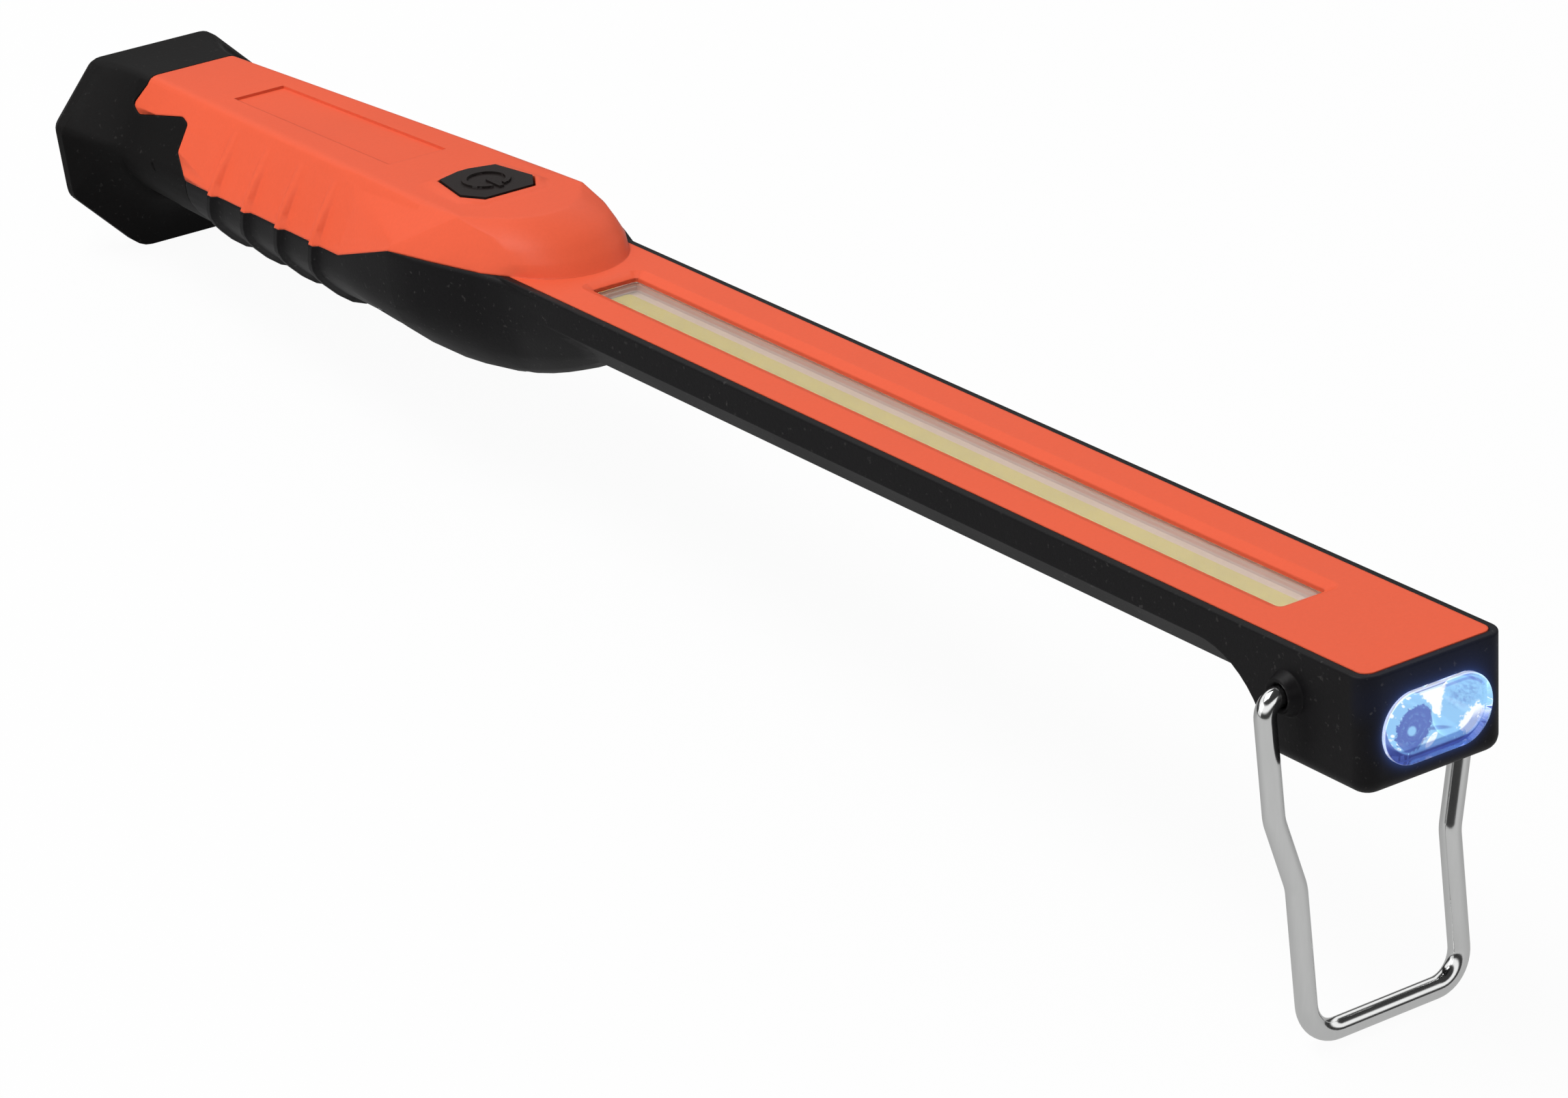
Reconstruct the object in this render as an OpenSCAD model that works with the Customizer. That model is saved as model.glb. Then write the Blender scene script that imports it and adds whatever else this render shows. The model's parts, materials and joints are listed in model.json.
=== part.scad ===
// Cordless LED work light: a grip with a lofted two-part housing, a slim light bar with a long
// strip light, a spot light in its tip, an octagonal butt cap and a folding wire hook.
//
// Each piece is drawn in the lamp's own axes: X runs from the butt to the tip, Y across, and Z up
// out of the light bar's face, with X = 0 at the butt and Z = 0 on the bar's top edge. stand() then
// sets the lamp down the way it stands on a bench, on the cap's lower rim and the hook.

/* [Length] */
// Length of the grip, from the butt to the foot of its nose
handle_len = 162.5; // [155:0.5:180]
// Length of the light bar, from the foot of the nose to the front of the tip
bar_len = 225.5; // [200:0.5:260]

/* [Grip] */
// Width of the flat on top of the grip at the butt
top_w_butt = 18.8; // [16:0.2:22]
// Width of the flat on top of the grip at its front
top_w_front = 26; // [22:0.2:27.4]
// Widest width of the grip at the butt
grip_w_butt = 35.8; // [34:0.2:40]
// Widest width of the grip at its front
grip_w_front = 41; // [38:0.5:44]
// Height of the grip's top above the bar's top at the butt
top_rise_butt = 4.8; // [3:0.1:6]
// Height of the grip's top above the bar's top at its front
top_rise_front = 7.1; // [6:0.1:7.5]
// Depth of the parting line below the bar's top at the butt
split_drop_butt = 8.75; // [7.5:0.05:10]
// Depth of the parting line below the bar's top at the grip's front
split_drop_front = 6.9; // [6:0.1:8.5]
// Depth at which the grip's sides start to turn under
hip_drop = 13.3; // [11.5:0.1:15]
// How far the sides lean in between the parting line and that turn
hip_lean = 0.8; // [0.2:0.1:2]
// Depth of the grip's underside below the bar's top at the butt
grip_drop = 21.3; // [20.8:0.1:23]
// Depth of the grip's underside below the bar's top at its front
grip_drop_front = 22.8; // [21:0.1:24]
// Width of the flat under the grip
sole_w = 18; // [12:0.5:22]
// Softness of the crease along the top, as a set-back from its corner
crease_soft = 1.5; // [0.6:0.1:3]
// Softness of the corners under the grip, as a set-back
sole_soft = 5; // [2:0.2:6]
// Softness of the edge along the parting line, as a set-back
split_soft = 1.2; // [0.4:0.1:2]

/* [Finger ribs] */
// Number of ribs on each side
rib_count = 4; // [2:1:4]
// Distance from the butt to the first rib
rib_start = 55.3; // [52:0.1:57]
// Distance from rib to rib
rib_pitch = 13.1; // [11:0.1:13.5]
// Width of a rib at its foot
rib_w = 6; // [4:0.1:8]
// Height of a rib on the sides
rib_h = 1.1; // [0.4:0.1:1.6]
// Height of a rib under the grip
rib_sole_h = 1.1; // [0.3:0.05:1.5]
// Share of the upper side that stays plain above the ribs
rib_fade = 0.16; // [0.1:0.02:0.7]
// How far the ribs sweep back under the grip
rib_sweep = 5; // [0:0.5:6]

/* [Shoulder and nose] */
// Distance from the foot of the nose back to the widest line of the shoulder
shoulder_back = 36.5; // [33:0.5:39]
// Width of the shoulder
shoulder_w = 44.6; // [42:0.2:47]
// Length over which the parting line climbs to the shoulder
flare_len = 21; // [16:0.5:24]
// Height of the shoulder's top above the bar's top
shoulder_rise = 7.45; // [7.2:0.05:8.2]
// Radius of the foot of the nose, seen from above
nose_r = 13; // [11:0.1:13.5]
// Radius of the front of the nose's flat top, seen from above
nose_top_r = 11.5; // [10:0.1:12.4]
// Width of the nose's flat top at its corners
nose_top_w = 27.6; // [24:0.2:28]
// Height of the nose's top above the bar's top
nose_rise = 8; // [7.6:0.05:9]
// Bulge of the nose's slope
nose_bulge = 1.8; // [0:0.1:2.2]
// Fullness of the nose's sides
nose_full = 1; // [0:0.1:1.5]
// Distance from the foot of the nose back to the front of its flat top
nose_slope = 13.5; // [12:0.1:18]
// Width of the neck, where the flanks run into the bar
neck_w = 29.7; // [29.4:0.1:31]
// Distance from the foot of the nose back to the neck
neck_back = 9.5; // [9:0.5:17]

/* [Belly] */
// Depth of the belly below the bar's top
belly_drop = 23.4; // [22.8:0.1:26]
// Distance from the shoulder to the belly's deepest line
belly_start = 5; // [3:0.5:9]
// Length over which the belly climbs to the underside of the bar
belly_rise_len = 49; // [44:0.5:56]
// Fullness of that climb: 1 is straight, more is rounder
belly_fullness = 1.85; // [1.2:0.05:2.4]

/* [Light bar] */
// Width of the bar
bar_w = 28.8; // [28.4:0.1:29.4]
// Height of the bar
bar_h = 9.8; // [9.6:0.1:12]
// Height of the bar's upright sides
bar_side_h = 5.3; // [4.6:0.1:6.5]
// Width of the bar's flat underside
bar_sole_w = 22; // [20.6:0.1:24]
// Width of the dark rim round the face plate
rim_w = 1.4; // [1:0.1:1.8]
// How far the face plate stands above the rim
plate_proud = 0.1; // [0.1:0.05:0.6]
// Thickness of the face plate
plate_t = 1.8; // [1.6:0.1:2.3]
// Corner radius of the face plate at the tip
plate_corner_r = 2; // [1:0.1:4]

/* [Strip light] */
// Width of the window in the face plate
window_w = 9.6; // [8:0.2:11]
// Distance from the foot of the nose to the window
window_gap = 5; // [4:0.1:9]
// Distance from the window to the front of the tip
window_end = 30.8; // [28.5:0.1:34]
// Corner radius of the window
window_corner_r = 1; // [0.8:0.1:3]
// Run of the slope round the window's mouth
mouth_run = 1.9; // [0.8:0.1:2.2]
// Depth of that slope
mouth_h = 0.85; // [0.4:0.05:1]
// Corner radius of the window's mouth
mouth_corner_r = 2.3; // [1:0.1:3]
// Corner radius of the window near the nose
window_rear_r = 0.8; // [0.4:0.1:3]
// How far the clear strip lies below the face plate
strip_sunk = 1.5; // [1.2:0.05:1.7]
// Thickness of the clear strip's edge under the face plate
strip_lens_t = 1.2; // [1:0.1:1.4]
// Distance that the clear strip and its frame reach past the window
strip_lap = 2; // [1.2:0.1:2.2]
// Depth of the frame between the clear strip and the heat spreader
tray_h = 2.5; // [2.2:0.1:2.7]
// Width of the phosphor strip
phosphor_w = 4.6; // [3.6:0.2:7]
// Thickness of the phosphor strip
phosphor_t = 0.5; // [0.3:0.05:0.7]
// Thickness of the heat spreader
spreader_t = 1; // [0.8:0.1:1.1]
// Half width of the channel inside the bar
channel_half = 10.2; // [9.8:0.1:10.3]
// Half width of the wire duct under the heat spreader
duct_half = 6; // [4.5:0.1:6.2]
// Depth of the wire duct
duct_h = 1.6; // [1.5:0.05:1.8]

/* [Tip] */
// Height of the tip
tip_h = 20; // [19.2:0.1:22]
// Radius of the upright corners of the tip
tip_corner_r = 3.4; // [3.1:0.1:4]
// Radius of the edges under the tip
tip_edge_r = 2.6; // [1:0.1:3]
// Radius of the rim's outer edge
rim_edge_r = 0.4; // [0.3:0.05:1]
// Distance from the front of the tip to where the flare leaves the bar
flare_start = 39.5; // [38:0.5:44]
// Radius of the flare
flare_r = 17.5; // [16:0.1:20]
// Thickness of the tip's front wall
tip_wall = 2; // [1.6:0.1:2.6]

/* [Spot light] */
// Width of the spot lens
spot_w = 21.8; // [18:0.2:22.4]
// Height of the spot lens
spot_h = 12; // [9:0.1:12.4]
// Depth of the middle of the spot lens below the bar's top
spot_drop = 10.3; // [9.7:0.1:10.8]
// How far the spot lens stands out of the tip
spot_proud = 0.5; // [0.2:0.1:1]
// Lip of the spot lens behind the front wall
spot_lip = 0.9; // [0.6:0.1:1]
// Thickness of that lip
spot_lip_t = 1.1; // [0.8:0.1:1.4]
// Depth of the spot reflector
reflector_len = 8; // [6.5:0.1:8.2]
// Distance between the two cups of the reflector
cup_pitch = 10.6; // [9.8:0.1:11]
// Radius of a cup at its mouth
cup_mouth_r = 5.1; // [4:0.1:5.2]
// Radius of a cup at its root
cup_root_r = 2.3; // [2:0.1:2.6]

/* [Hook] */
// Diameter of the wire
wire_d = 3.6; // [3:0.1:4]
// Distance from the front of the tip back to the pivot
pivot_back = 18; // [16.5:0.1:18.4]
// Depth of the pivot below the bar's top
pivot_drop = 8; // [7:0.1:9]
// Distance from the pivot to the cross bar
hook_len = 56.9; // [50:0.1:64]
// Half width between the upper legs
hook_half_top = 18.95; // [18.2:0.05:20]
// Half width between the lower legs
hook_half_low = 15.75; // [15.2:0.05:17]
// Distance from the pivot to the start of the jog in the legs
jog_start = 19.5; // [16:0.1:22]
// Length of that jog
jog_len = 12; // [10:0.1:16]
// Bend radius at the pivot
pivot_bend_r = 2.9; // [2.4:0.1:4]
// Bend radius at the jog
jog_bend_r = 8; // [5:0.5:10]
// Bend radius at the cross bar
bar_bend_r = 5.6; // [4:0.1:8]
// Angle of the hook in front of straight down
hook_lean = 5.65; // [0:0.05:12]
// Radius of the pivot holes' countersink
pivot_sink_r = 2.5; // [2.2:0.1:2.7]
// Radius of the bosses that carry the hook
boss_r = 3.3; // [3:0.1:4]
// Height of those bosses
boss_h = 1.9; // [1:0.1:2]
// Depth of the pivot holes
pivot_depth = 7.2; // [5:0.1:7.2]

/* [Cap] */
// Width of the octagon's top edge
cap_top_w = 26; // [22:0.5:30]
// Width of the octagon
cap_w = 48.6; // [46:0.2:54]
// Width of the octagon's lower edge
cap_sole_w = 23.2; // [18:0.2:28]
// Height of the octagon's top edge above the bar's top
cap_rise = 5.4; // [5:0.1:6]
// Depth of the octagon's upper corner
cap_corner_drop = 6; // [4:0.1:8]
// Depth of the octagon's lower corner
cap_hip_drop = 19.2; // [17:0.1:21]
// Depth of the octagon's lower edge
cap_drop = 32.2; // [30:0.1:36]
// Lean of the butt's flat face
cap_lean = 12; // [6:0.5:14]
// Set-back of the rounded rear edge
cap_round = 2.4; // [1.2:0.1:2.6]
// Width of the rim's flat band
cap_band = 2.2; // [1.4:0.1:2.8]
// Distance from the butt to the collar
collar_start = 20; // [18.5:0.1:21]
// Distance from the butt to the back edge of the tongue on top
tongue_start = 19.3; // [18:0.1:20.4]
// Distance from the butt to the front of the ears
ear_end = 45.8; // [44:0.1:48]
// Thickness of the collar and its ears
ear_t = 2; // [1.6:0.1:2.4]
// Distance from the butt to the back of the housing inside the cap
spigot_start = 14; // [13:0.1:15]
// Length of the snap window under each ear
snap_len = 11.5; // [8:0.1:12.5]
// Width of the snap window
snap_w = 2.6; // [2:0.1:3.2]
// Distance from the butt to the thumb mark on each ear
mark_start = 32; // [30:0.1:33]
// Depth of the thumb mark
mark_t = 0.45; // [0.2:0.05:0.6]
// Sweep of the thumb mark's cutter
mark_r = 16; // [10:0.5:20]

/* [Magnet] */
// Diameter of the magnet in the butt
magnet_d = 20; // [14:0.5:22]
// Thickness of the magnet
magnet_t = 4; // [3:0.1:4.6]
// Thickness of the steel plate behind it
keeper_t = 1; // [0.6:0.1:1.4]

/* [Button] */
// Distance from the foot of the nose back to the middle of the button
button_back = 36; // [35:0.5:38]
// Length of the button
button_len = 15.7; // [13:0.1:16]
// Width of the button
button_w = 15.8; // [13:0.1:16.4]
// Height of the low collar round the button
collar_rise = 0.7; // [0.4:0.05:1]
// Width of that collar's slope
collar_run = 3.2; // [2:0.1:4]
// How far the button stands out of its collar
button_proud = 0.3; // [0.2:0.05:1]
// Travel of the button
button_travel = 0.6; // [0.3:0.1:0.7]
// Radius of the ring of the power sign
sign_r = 4.1; // [2.5:0.1:4.2]
// Line width of the power sign
sign_line = 1; // [0.6:0.1:1.2]
// Height of the power sign
sign_h = 0.45; // [0.2:0.05:0.5]

/* [Label recess] */
// Distance from the butt to the recess
recess_start = 44.8; // [40:0.1:48]
// Length of the recess
recess_len = 58; // [40:0.5:59]
// Width of the recess at the butt
recess_w_butt = 11.1; // [8:0.1:12]
// Width of the recess at its front
recess_w_front = 12.6; // [8:0.1:14]
// Depth of the recess
recess_t = 0.5; // [0.3:0.05:1]

/* [Inside] */
// Diameter of the battery cell
cell_d = 18.5; // [17:0.1:18.8]
// Length of the battery cell
cell_len = 65; // [60:0.5:65.5]
// Wall between the battery cell and the board's bay
cell_wall = 2.6; // [2:0.1:3.4]
// Depth of the cell's axis below the bar's top
cell_drop = 7.7; // [7.2:0.1:8.2]
// Thickness of the boards
pcb_t = 1; // [0.8:0.1:1.2]
// Length of the main board
board_len = 28; // [24:0.5:28.4]
// Distance from the middle of the button to the front of the board's bay
board_reach = 19.5; // [18.5:0.1:20.5]
// Half width of the main board
board_half = 12.4; // [11.4:0.1:12.8]
// Height of the switch body
switch_h = 3.8; // [3.2:0.1:4]
// Radius of the switch stem
stem_r = 1.7; // [1.2:0.1:2]
// Diameter of the lead wires
lead_d = 1; // [0.8:0.1:1.2]
// Width of the battery's welded tabs
tab_w = 6; // [4:0.5:8]
// Height of the battery's welded tabs
tab_h = 10; // [8:0.5:12]
// Distance of the spot light's leads from the middle
spot_lead_half = 3.2; // [2:0.1:4]
// Length of a case screw under its head
screw_len = 12; // [10:0.5:13]
// Distance of the case screws from the middle, behind the board
rear_screw_half = 15.2; // [14.8:0.1:15.8]
// Distance of the case screws from the middle, at the neck
front_screw_half = 6; // [5.4:0.1:7]
// Radius of a case screw's thread
screw_r = 1.4; // [1.2:0.05:1.6]
// Height of a case screw's head
screw_head_h = 1.8; // [1.2:0.1:2.4]
// Radius of a case screw's head
screw_head_r = 2.6; // [2.2:0.1:3]

/* [Fits] */
// Gap round pieces that drop into a pocket
fit_gap = 0.1; // [0.05:0.01:0.2]
// Gap between the cap and the housing
cap_gap = 0.15; // [0.1:0.01:0.3]
// Gap round the button
button_gap = 0.3; // [0.2:0.05:0.5]
// Running gap of the hook in its holes
pivot_gap = 0.06; // [0.03:0.01:0.1]

/* [Hidden] */
$fn = 48;

orange = [0.93, 0.40, 0.27];
black = [0.13, 0.12, 0.125];
clear = [0.85, 0.9, 0.95, 0.35];
steel = [0.75, 0.76, 0.78];
over = 1;      // overshoot of cutting tools
wide = 80;     // width of tools that cut right through
arc_steps = 3; // straight steps in a softened corner of a section

// Places along X
tip_x = handle_len + bar_len;
shoulder_x = handle_len - shoulder_back;
flare_x = shoulder_x - flare_len;
neck_x = handle_len - neck_back;
belly_x = shoulder_x + belly_start;
belly_end = belly_x + belly_rise_len;
nose_top_x = handle_len - nose_slope;
window_x0 = handle_len + window_gap;
window_x1 = tip_x - window_end;
pivot_x = tip_x - pivot_back;
button_x = handle_len - button_back;

// Levels of the stack in the bar, from its face down
plate_z = plate_proud - plate_t;
tray_z = plate_z - strip_lens_t;
spreader_z = tray_z - tray_h;
rail_z = spreader_z - spreader_t;
duct_z = rail_z - duct_h;
board_z = spreader_z + pcb_t;

// Lofted sections
// A section is drawn by its corners on one side, each as [half width, z]: crease, side, hip and sole.
// fading() adds one on the upper side, where the ribs run out.
function blend(a, b, s) = a + (b - a) * s;
function share(x, x0, x1) = min(max((x - x0) / (x1 - x0), 0), 1);
function curve(a, b, c) = [for (i = [0 : arc_steps]) let (s = i / arc_steps)
    (1 - s) * (1 - s) * a + 2 * s * (1 - s) * b + s * s * c];
function toward(p, q, d) = p + (q - p) * min(d / norm(q - p), 0.45);
function softened(pts, cuts) = [for (i = [0 : len(pts) - 1])
    let (n = len(pts), p = pts[i], q = pts[(i + n - 1) % n], r = pts[(i + 1) % n])
    each cuts[i] > 0 ? curve(toward(p, q, cuts[i]), p, toward(p, r, cuts[i])) : [p]];
function ring(half, cuts) = softened(
    concat([for (i = [len(half) - 1 : -1 : 0]) half[i]], [for (p = half) [-p[0], p[1]]]),
    concat([for (i = [len(half) - 1 : -1 : 0]) cuts[i]], cuts));
function fading(half) = [half[0], blend(half[0], half[1], rib_fade), half[1], half[2], half[3]];
// Places a ring at x, leaning by slope: lower points lie further to the front
function placed(x, ring, slope = 0, top = 0) = [for (p = ring) [x + (top - p[1]) * slope, p[0], p[1]]];

module loft(rings) {
    n = len(rings[0]);
    m = len(rings);
    polyhedron(points = [for (r = rings) each r], convexity = 8, faces = concat(
        [[for (i = [0 : n - 1]) i]],
        [for (j = [0 : m - 2], i = [0 : n - 1]) let (k = (i + 1) % n, a = j * n, b = a + n)
            each [[a + i, b + i, b + k], [a + i, b + k, a + k]]],
        [[for (i = [n - 1 : -1 : 0]) (m - 1) * n + i]]));
}

// Corners of the handle at x. It is straight from the butt to the flare, opens to the shoulder, and
// runs down to the bar's section at the end of the belly.
grip_slope_len = flare_x - spigot_start;
function butt_half() = [[top_w_butt / 2, top_rise_butt], [grip_w_butt / 2, -split_drop_butt],
    [grip_w_butt / 2 - hip_lean, -hip_drop], [sole_w / 2, -grip_drop]];
function flare_half() = [[top_w_front / 2, top_rise_front], [grip_w_front / 2, -split_drop_front],
    [grip_w_front / 2 - hip_lean, -hip_drop], [sole_w / 2, -grip_drop_front]];
function shoulder_half() = [[top_w_front / 2 + 0.5, shoulder_rise], [shoulder_w / 2, 0],
    [shoulder_w / 2 - hip_lean, -hip_drop], [sole_w / 2 + 1, blend(-grip_drop_front, -belly_drop, 0.8)]];
function belly_z(x) = blend(-belly_drop, -bar_h, pow(share(x, belly_x, belly_end), belly_fullness));
function flank_half(x) = let (s = pow(share(x, shoulder_x, neck_x), 1.25), u = share(x, neck_x, belly_end))
    [[blend(top_w_front / 2, bar_w / 2 - 3, s), blend(shoulder_rise - 0.4, -0.5, s)],
    [blend(blend(shoulder_w, neck_w, s), bar_w - 0.4, u) / 2, -0.7 * share(x, neck_x - 6, neck_x + 4)],
    [blend(blend(shoulder_w / 2 - hip_lean, neck_w / 2 - 0.4, s), bar_w / 2 - 0.3, u),
        blend(blend(-hip_drop, -hip_drop + 2.4, s), -bar_side_h - 0.2, u)],
    [blend(sole_w / 2 + 1, bar_sole_w / 2 - 0.2, share(x, belly_x, belly_end)), belly_z(x)]];
function handle_half(x) =
    x <= flare_x ? blend(butt_half(), flare_half(), (x - spigot_start) / grip_slope_len)
    : x <= shoulder_x ? blend(flare_half(), shoulder_half(), (x - flare_x) / flare_len)
    : flank_half(x);
function handle_cuts() = [crease_soft, 0.4, split_soft, sole_soft, sole_soft];
function raised(half, h) = let (k = h / rib_h) [half[0], half[1], half[2] + [h, 0],
    half[3] + [h, -0.3 * h], half[4] + [0.4 * h, -k * rib_sole_h]];
function sunk(half, t) = [half[0] - [0.55 * t, t], half[1] - [t, 0], half[2] + [-t, 0.3 * t],
    half[3] + [-0.3 * t, t]];
function top_z(x) = handle_half(x)[0][1];
function split_z(x) = handle_half(x)[1][1];

// Stations of the handle as [x, rib height, sweep]
function rib_x(i) = rib_start + i * rib_pitch;
rib_stations = [for (i = [0 : rib_count - 1], s = [[0, 0], [0.2, 1], [0.45, 1], [0.75, 0.1], [1, 0]])
    [rib_x(i) + s[0] * rib_w, s[1] * rib_h, rib_sweep]];
flank_stations = [for (s = [0.25 : 0.25 : 1]) [blend(shoulder_x, neck_x, s), 0, 0]];
belly_stations = [for (s = [0.2 : 0.2 : 1]) [blend(neck_x, belly_end, s), 0, 0]];
handle_stations = concat([[spigot_start, 0, 0]], rib_stations, [[flare_x, 0, 0], [shoulder_x, 0, 0]],
    flank_stations, belly_stations);

// Below the parting line the ribs sweep back
function swept(x, ring, back) = let (top = split_z(x), low = grip_drop + top)
    [for (p = ring) [x - back * share(top - p[1], 0, low), p[0], p[1]]];
module handle_form() {
    loft([for (s = handle_stations)
        swept(s[0], ring(raised(fading(handle_half(s[0])), s[1]), handle_cuts()), s[2])]);
}

// The housing's end inside the cap, and with a gap its socket in the cap
module spigot_form(gap = 0, reach = 4) {
    depth = ear_t + cap_gap - gap;
    loft([for (x = [spigot_start - gap, ear_end + reach])
        placed(x, ring(fading(sunk(handle_half(x), depth)), handle_cuts()))]);
}

// The rounded nose: from the shoulder's section, along its flat top, down to its foot on the bar
module nose_form() {
    hull() {
        intersection() {
            loft([for (x = [shoulder_x - 0.1, shoulder_x])
                placed(x, ring(fading(shoulder_half()), handle_cuts()))]);
            translate([shoulder_x - over, -wide / 2, 0]) cube([2 * over, wide, wide]);
        }
        translate([handle_len - nose_r, 0, 0]) cylinder(r = nose_r, h = foot_h, $fn = 48);
        // its foot keeps close to the flanks
        for (step = [1 : 2], side = [-1, 1]) let (x = blend(shoulder_x, neck_x, step * 0.4))
            translate([x, side * (flank_half(x)[1][0] - foot_ledge - 0.5), 0])
                cylinder(r = 0.5, h = foot_h, $fn = 12);
        // the slope bulges a little on its way up
        for (step = [1 : 3])
            let (up = step / 4, out = nose_bulge * [0.5, 0.8, 1][step - 1],
                full = nose_full * [0.7, 1, 0.9][step - 1])
            translate([blend(handle_len - nose_r, nose_top_x - nose_top_r, up) + out - 0.7 * full, 0, 0])
                cylinder(r = blend(nose_r, nose_top_r, up) + out / 2 + full, h = nose_rise * up, $fn = 48);
        // flat top, in line with the grip's top
        translate([shoulder_x, 0, shoulder_rise]) rotate([0, -nose_fall, 0])
            translate([nose_top_x - nose_top_r - shoulder_x, 0, -1]) {
                cylinder(r = nose_top_r - nose_edge, h = 1, $fn = 48);
                cylinder(r = nose_top_r, h = 1 - nose_edge / 6, $fn = 48);
                for (side = [-1, 1]) translate([0, side * (nose_top_w / 2 - nose_edge), 0]) {
                    cylinder(r = nose_edge / 2, h = 1, $fn = 24);
                    cylinder(r = nose_edge, h = 1 - nose_edge / 6, $fn = 24);
                }
            }
    }
}
nose_edge = 1.2;
foot_ledge = 0.8;
foot_h = plate_proud + 0.05;
nose_fall = atan((nose_rise - shoulder_rise) / (nose_top_x - shoulder_x));

// Upper side of the parting surface, seen from the side and cut through the whole width
module upper_half(margin = 0) {
    along_y() polygon([[-over, 30], [-over, split_z(spigot_start)], [flare_x, -split_drop_front],
        [shoulder_x, 0], [tip_x + over, 0], [tip_x + over, 30]]);
}
// Draws a side view [x, z] through the whole width
module along_y(w = wide) {
    translate([0, w / 2, 0]) rotate([90, 0, 0]) linear_extrude(w) children();
}
// Draws a section [y, z] along X
module along_x(x0, x1) {
    translate([x0, 0, 0]) rotate([90, 0, 90]) linear_extrude(x1 - x0) children();
}

// The cap's share of the handle, seen from the side: the collar, the ears and the notch that
// locks them into the housing
module cap_zone(gap = 0) {
    along_y() polygon(softened([[-30, 40], [tongue_start + gap, 40], [tongue_start + gap, cap_rise - 2],
        [tongue_start - 2.3 + gap, -0.5], [tongue_start + 1.2 + gap, -1.8 + gap],
        [ear_end - 9.4, 1.3 + gap], [ear_end - 6.8 + gap, 0.6 + gap], [ear_end - 6.5 + gap, -4.2],
        [ear_end + gap, split_z(ear_end) + gap], [ear_end + gap, -60], [-30, -60]],
        [0, 0, 0, 1.3, 1, 0.8, 0.6, 0.5, 0, 0, 0]));
}

// Rectangle with rounded corners, from x0 to x1 and half_w to either side
module soft_bar(x0, x1, half_w, r_back, r_front) {
    difference() {
        translate([x0, -half_w]) square([x1 - x0, 2 * half_w]);
        for (side = [-1, 1]) {
            translate([x0, side * half_w]) corner_waste(r_back, 1, -side);
            translate([x1, side * half_w]) corner_waste(r_front, -1, -side);
        }
    }
}
// What rounding a square corner takes away; sx and sy point into the square
module corner_waste(r, sx, sy) {
    if (r > 0) difference() {
        translate([sx > 0 ? -over : -r, sy > 0 ? -over : -r]) square(r + over);
        translate([sx * r, sy * r]) circle(r);
    }
}
// A slot with round ends, w wide and h high
module obround(w, h) {
    square([w - h, h], center = true);
    for (side = [-1, 1]) translate([side * (w - h) / 2, 0]) circle(h / 2);
}

// Stands the lamp on the cap's lower rim and on the hook, middle over the origin
rim_foot = [cap_round + (cap_rise + cap_drop) * tan(cap_lean), -cap_drop];
hook_foot = [pivot_x + hook_len * sin(hook_lean), -pivot_drop - hook_len * cos(hook_lean)];
foot_span = norm(hook_foot - rim_foot);
stand_tilt = asin((rim_foot[1] - hook_foot[1]) / foot_span) + asin(wire_d / 2 / foot_span);
function turned_x(p) = p[0] * cos(stand_tilt) - p[1] * sin(stand_tilt);
function turned_z(p) = p[0] * sin(stand_tilt) + p[1] * cos(stand_tilt);
butt_top = [(cap_round) * tan(cap_lean), cap_rise - cap_round];
tip_low = [tip_x - tip_edge_r, -tip_h + tip_edge_r];
stand_mid = (turned_x(butt_top) + turned_x(tip_low) + tip_edge_r) / 2;
module stand() {
    translate([-stand_mid, 0, -turned_z(rim_foot)]) rotate([0, -stand_tilt, 0]) children();
}

// Bays inside the housing
board_x1 = button_x + board_reach;
board_x0 = board_x1 - board_len - 2;
cell_start = board_x0 - cell_wall - cell_len;
bay_ceiling = 2.6;
bay_floor = -14;
cell_bay_r = cell_d / 2 + 4 * fit_gap;
tab_t = 0.3;
lead_side = cell_d / 2 + lead_d / 2 + fit_gap;
lead_tail = 3;

module cell_bay() {
    translate([cell_start - tab_t - fit_gap, 0, -cell_drop]) rotate([0, 90, 0])
        cylinder(r = cell_bay_r, h = cell_len + 2 * (tab_t + fit_gap));
    // groove for the lead from the far end, and the way through to the board
    translate([cell_start - tab_t - fit_gap, lead_side, -cell_drop]) rotate([0, 90, 0])
        cylinder(r = lead_d / 2 + fit_gap, h = board_x0 - cell_start + over);
    translate([cell_start + cell_len, -tab_w / 2, -cell_drop - tab_h / 2])
        cube([board_x0 - cell_start - cell_len + over, tab_w, tab_h]);
}
module board_bay() {
    translate([board_x0, -board_half - fit_gap, spreader_z])
        cube([board_x1 - board_x0, 2 * (board_half + fit_gap), bay_ceiling - spreader_z]);
    translate([board_x0, -board_half + 1.6, bay_floor])
        cube([board_x1 - board_x0, 2 * board_half - 3.2, spreader_z - bay_floor + over]);
}
module spigot_bay() {
    translate([spigot_start - over, -9, -14.5]) cube([ear_end - spigot_start - 2, 18, 13.5]);
}
// Channel of the bar: the stack on its rails, the wire duct and the way into the tip
tip_bay_x = tip_x - tip_wall - spot_lip_t - reflector_len - pcb_t - fit_gap;
module bar_channel() {
    channel_x1 = window_x1 + strip_lap + 2 + fit_gap;
    translate([board_x1 - over, -channel_half, rail_z])
        cube([channel_x1 - board_x1 + over, 2 * channel_half, plate_z - rail_z + over]);
    translate([board_x1 - over, -duct_half, duct_z])
        cube([tip_bay_x - board_x1 + 2 * over, 2 * duct_half, duct_h + over]);
    translate([tip_bay_x, -spot_w / 2 - spot_lip - fit_gap, -spot_drop - spot_h / 2 - spot_lip - fit_gap])
        cube([tip_x - tip_wall - tip_bay_x, spot_w + 2 * (spot_lip + fit_gap),
            spot_drop + spot_h / 2 + spot_lip + fit_gap + plate_z + over]);
}
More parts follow.
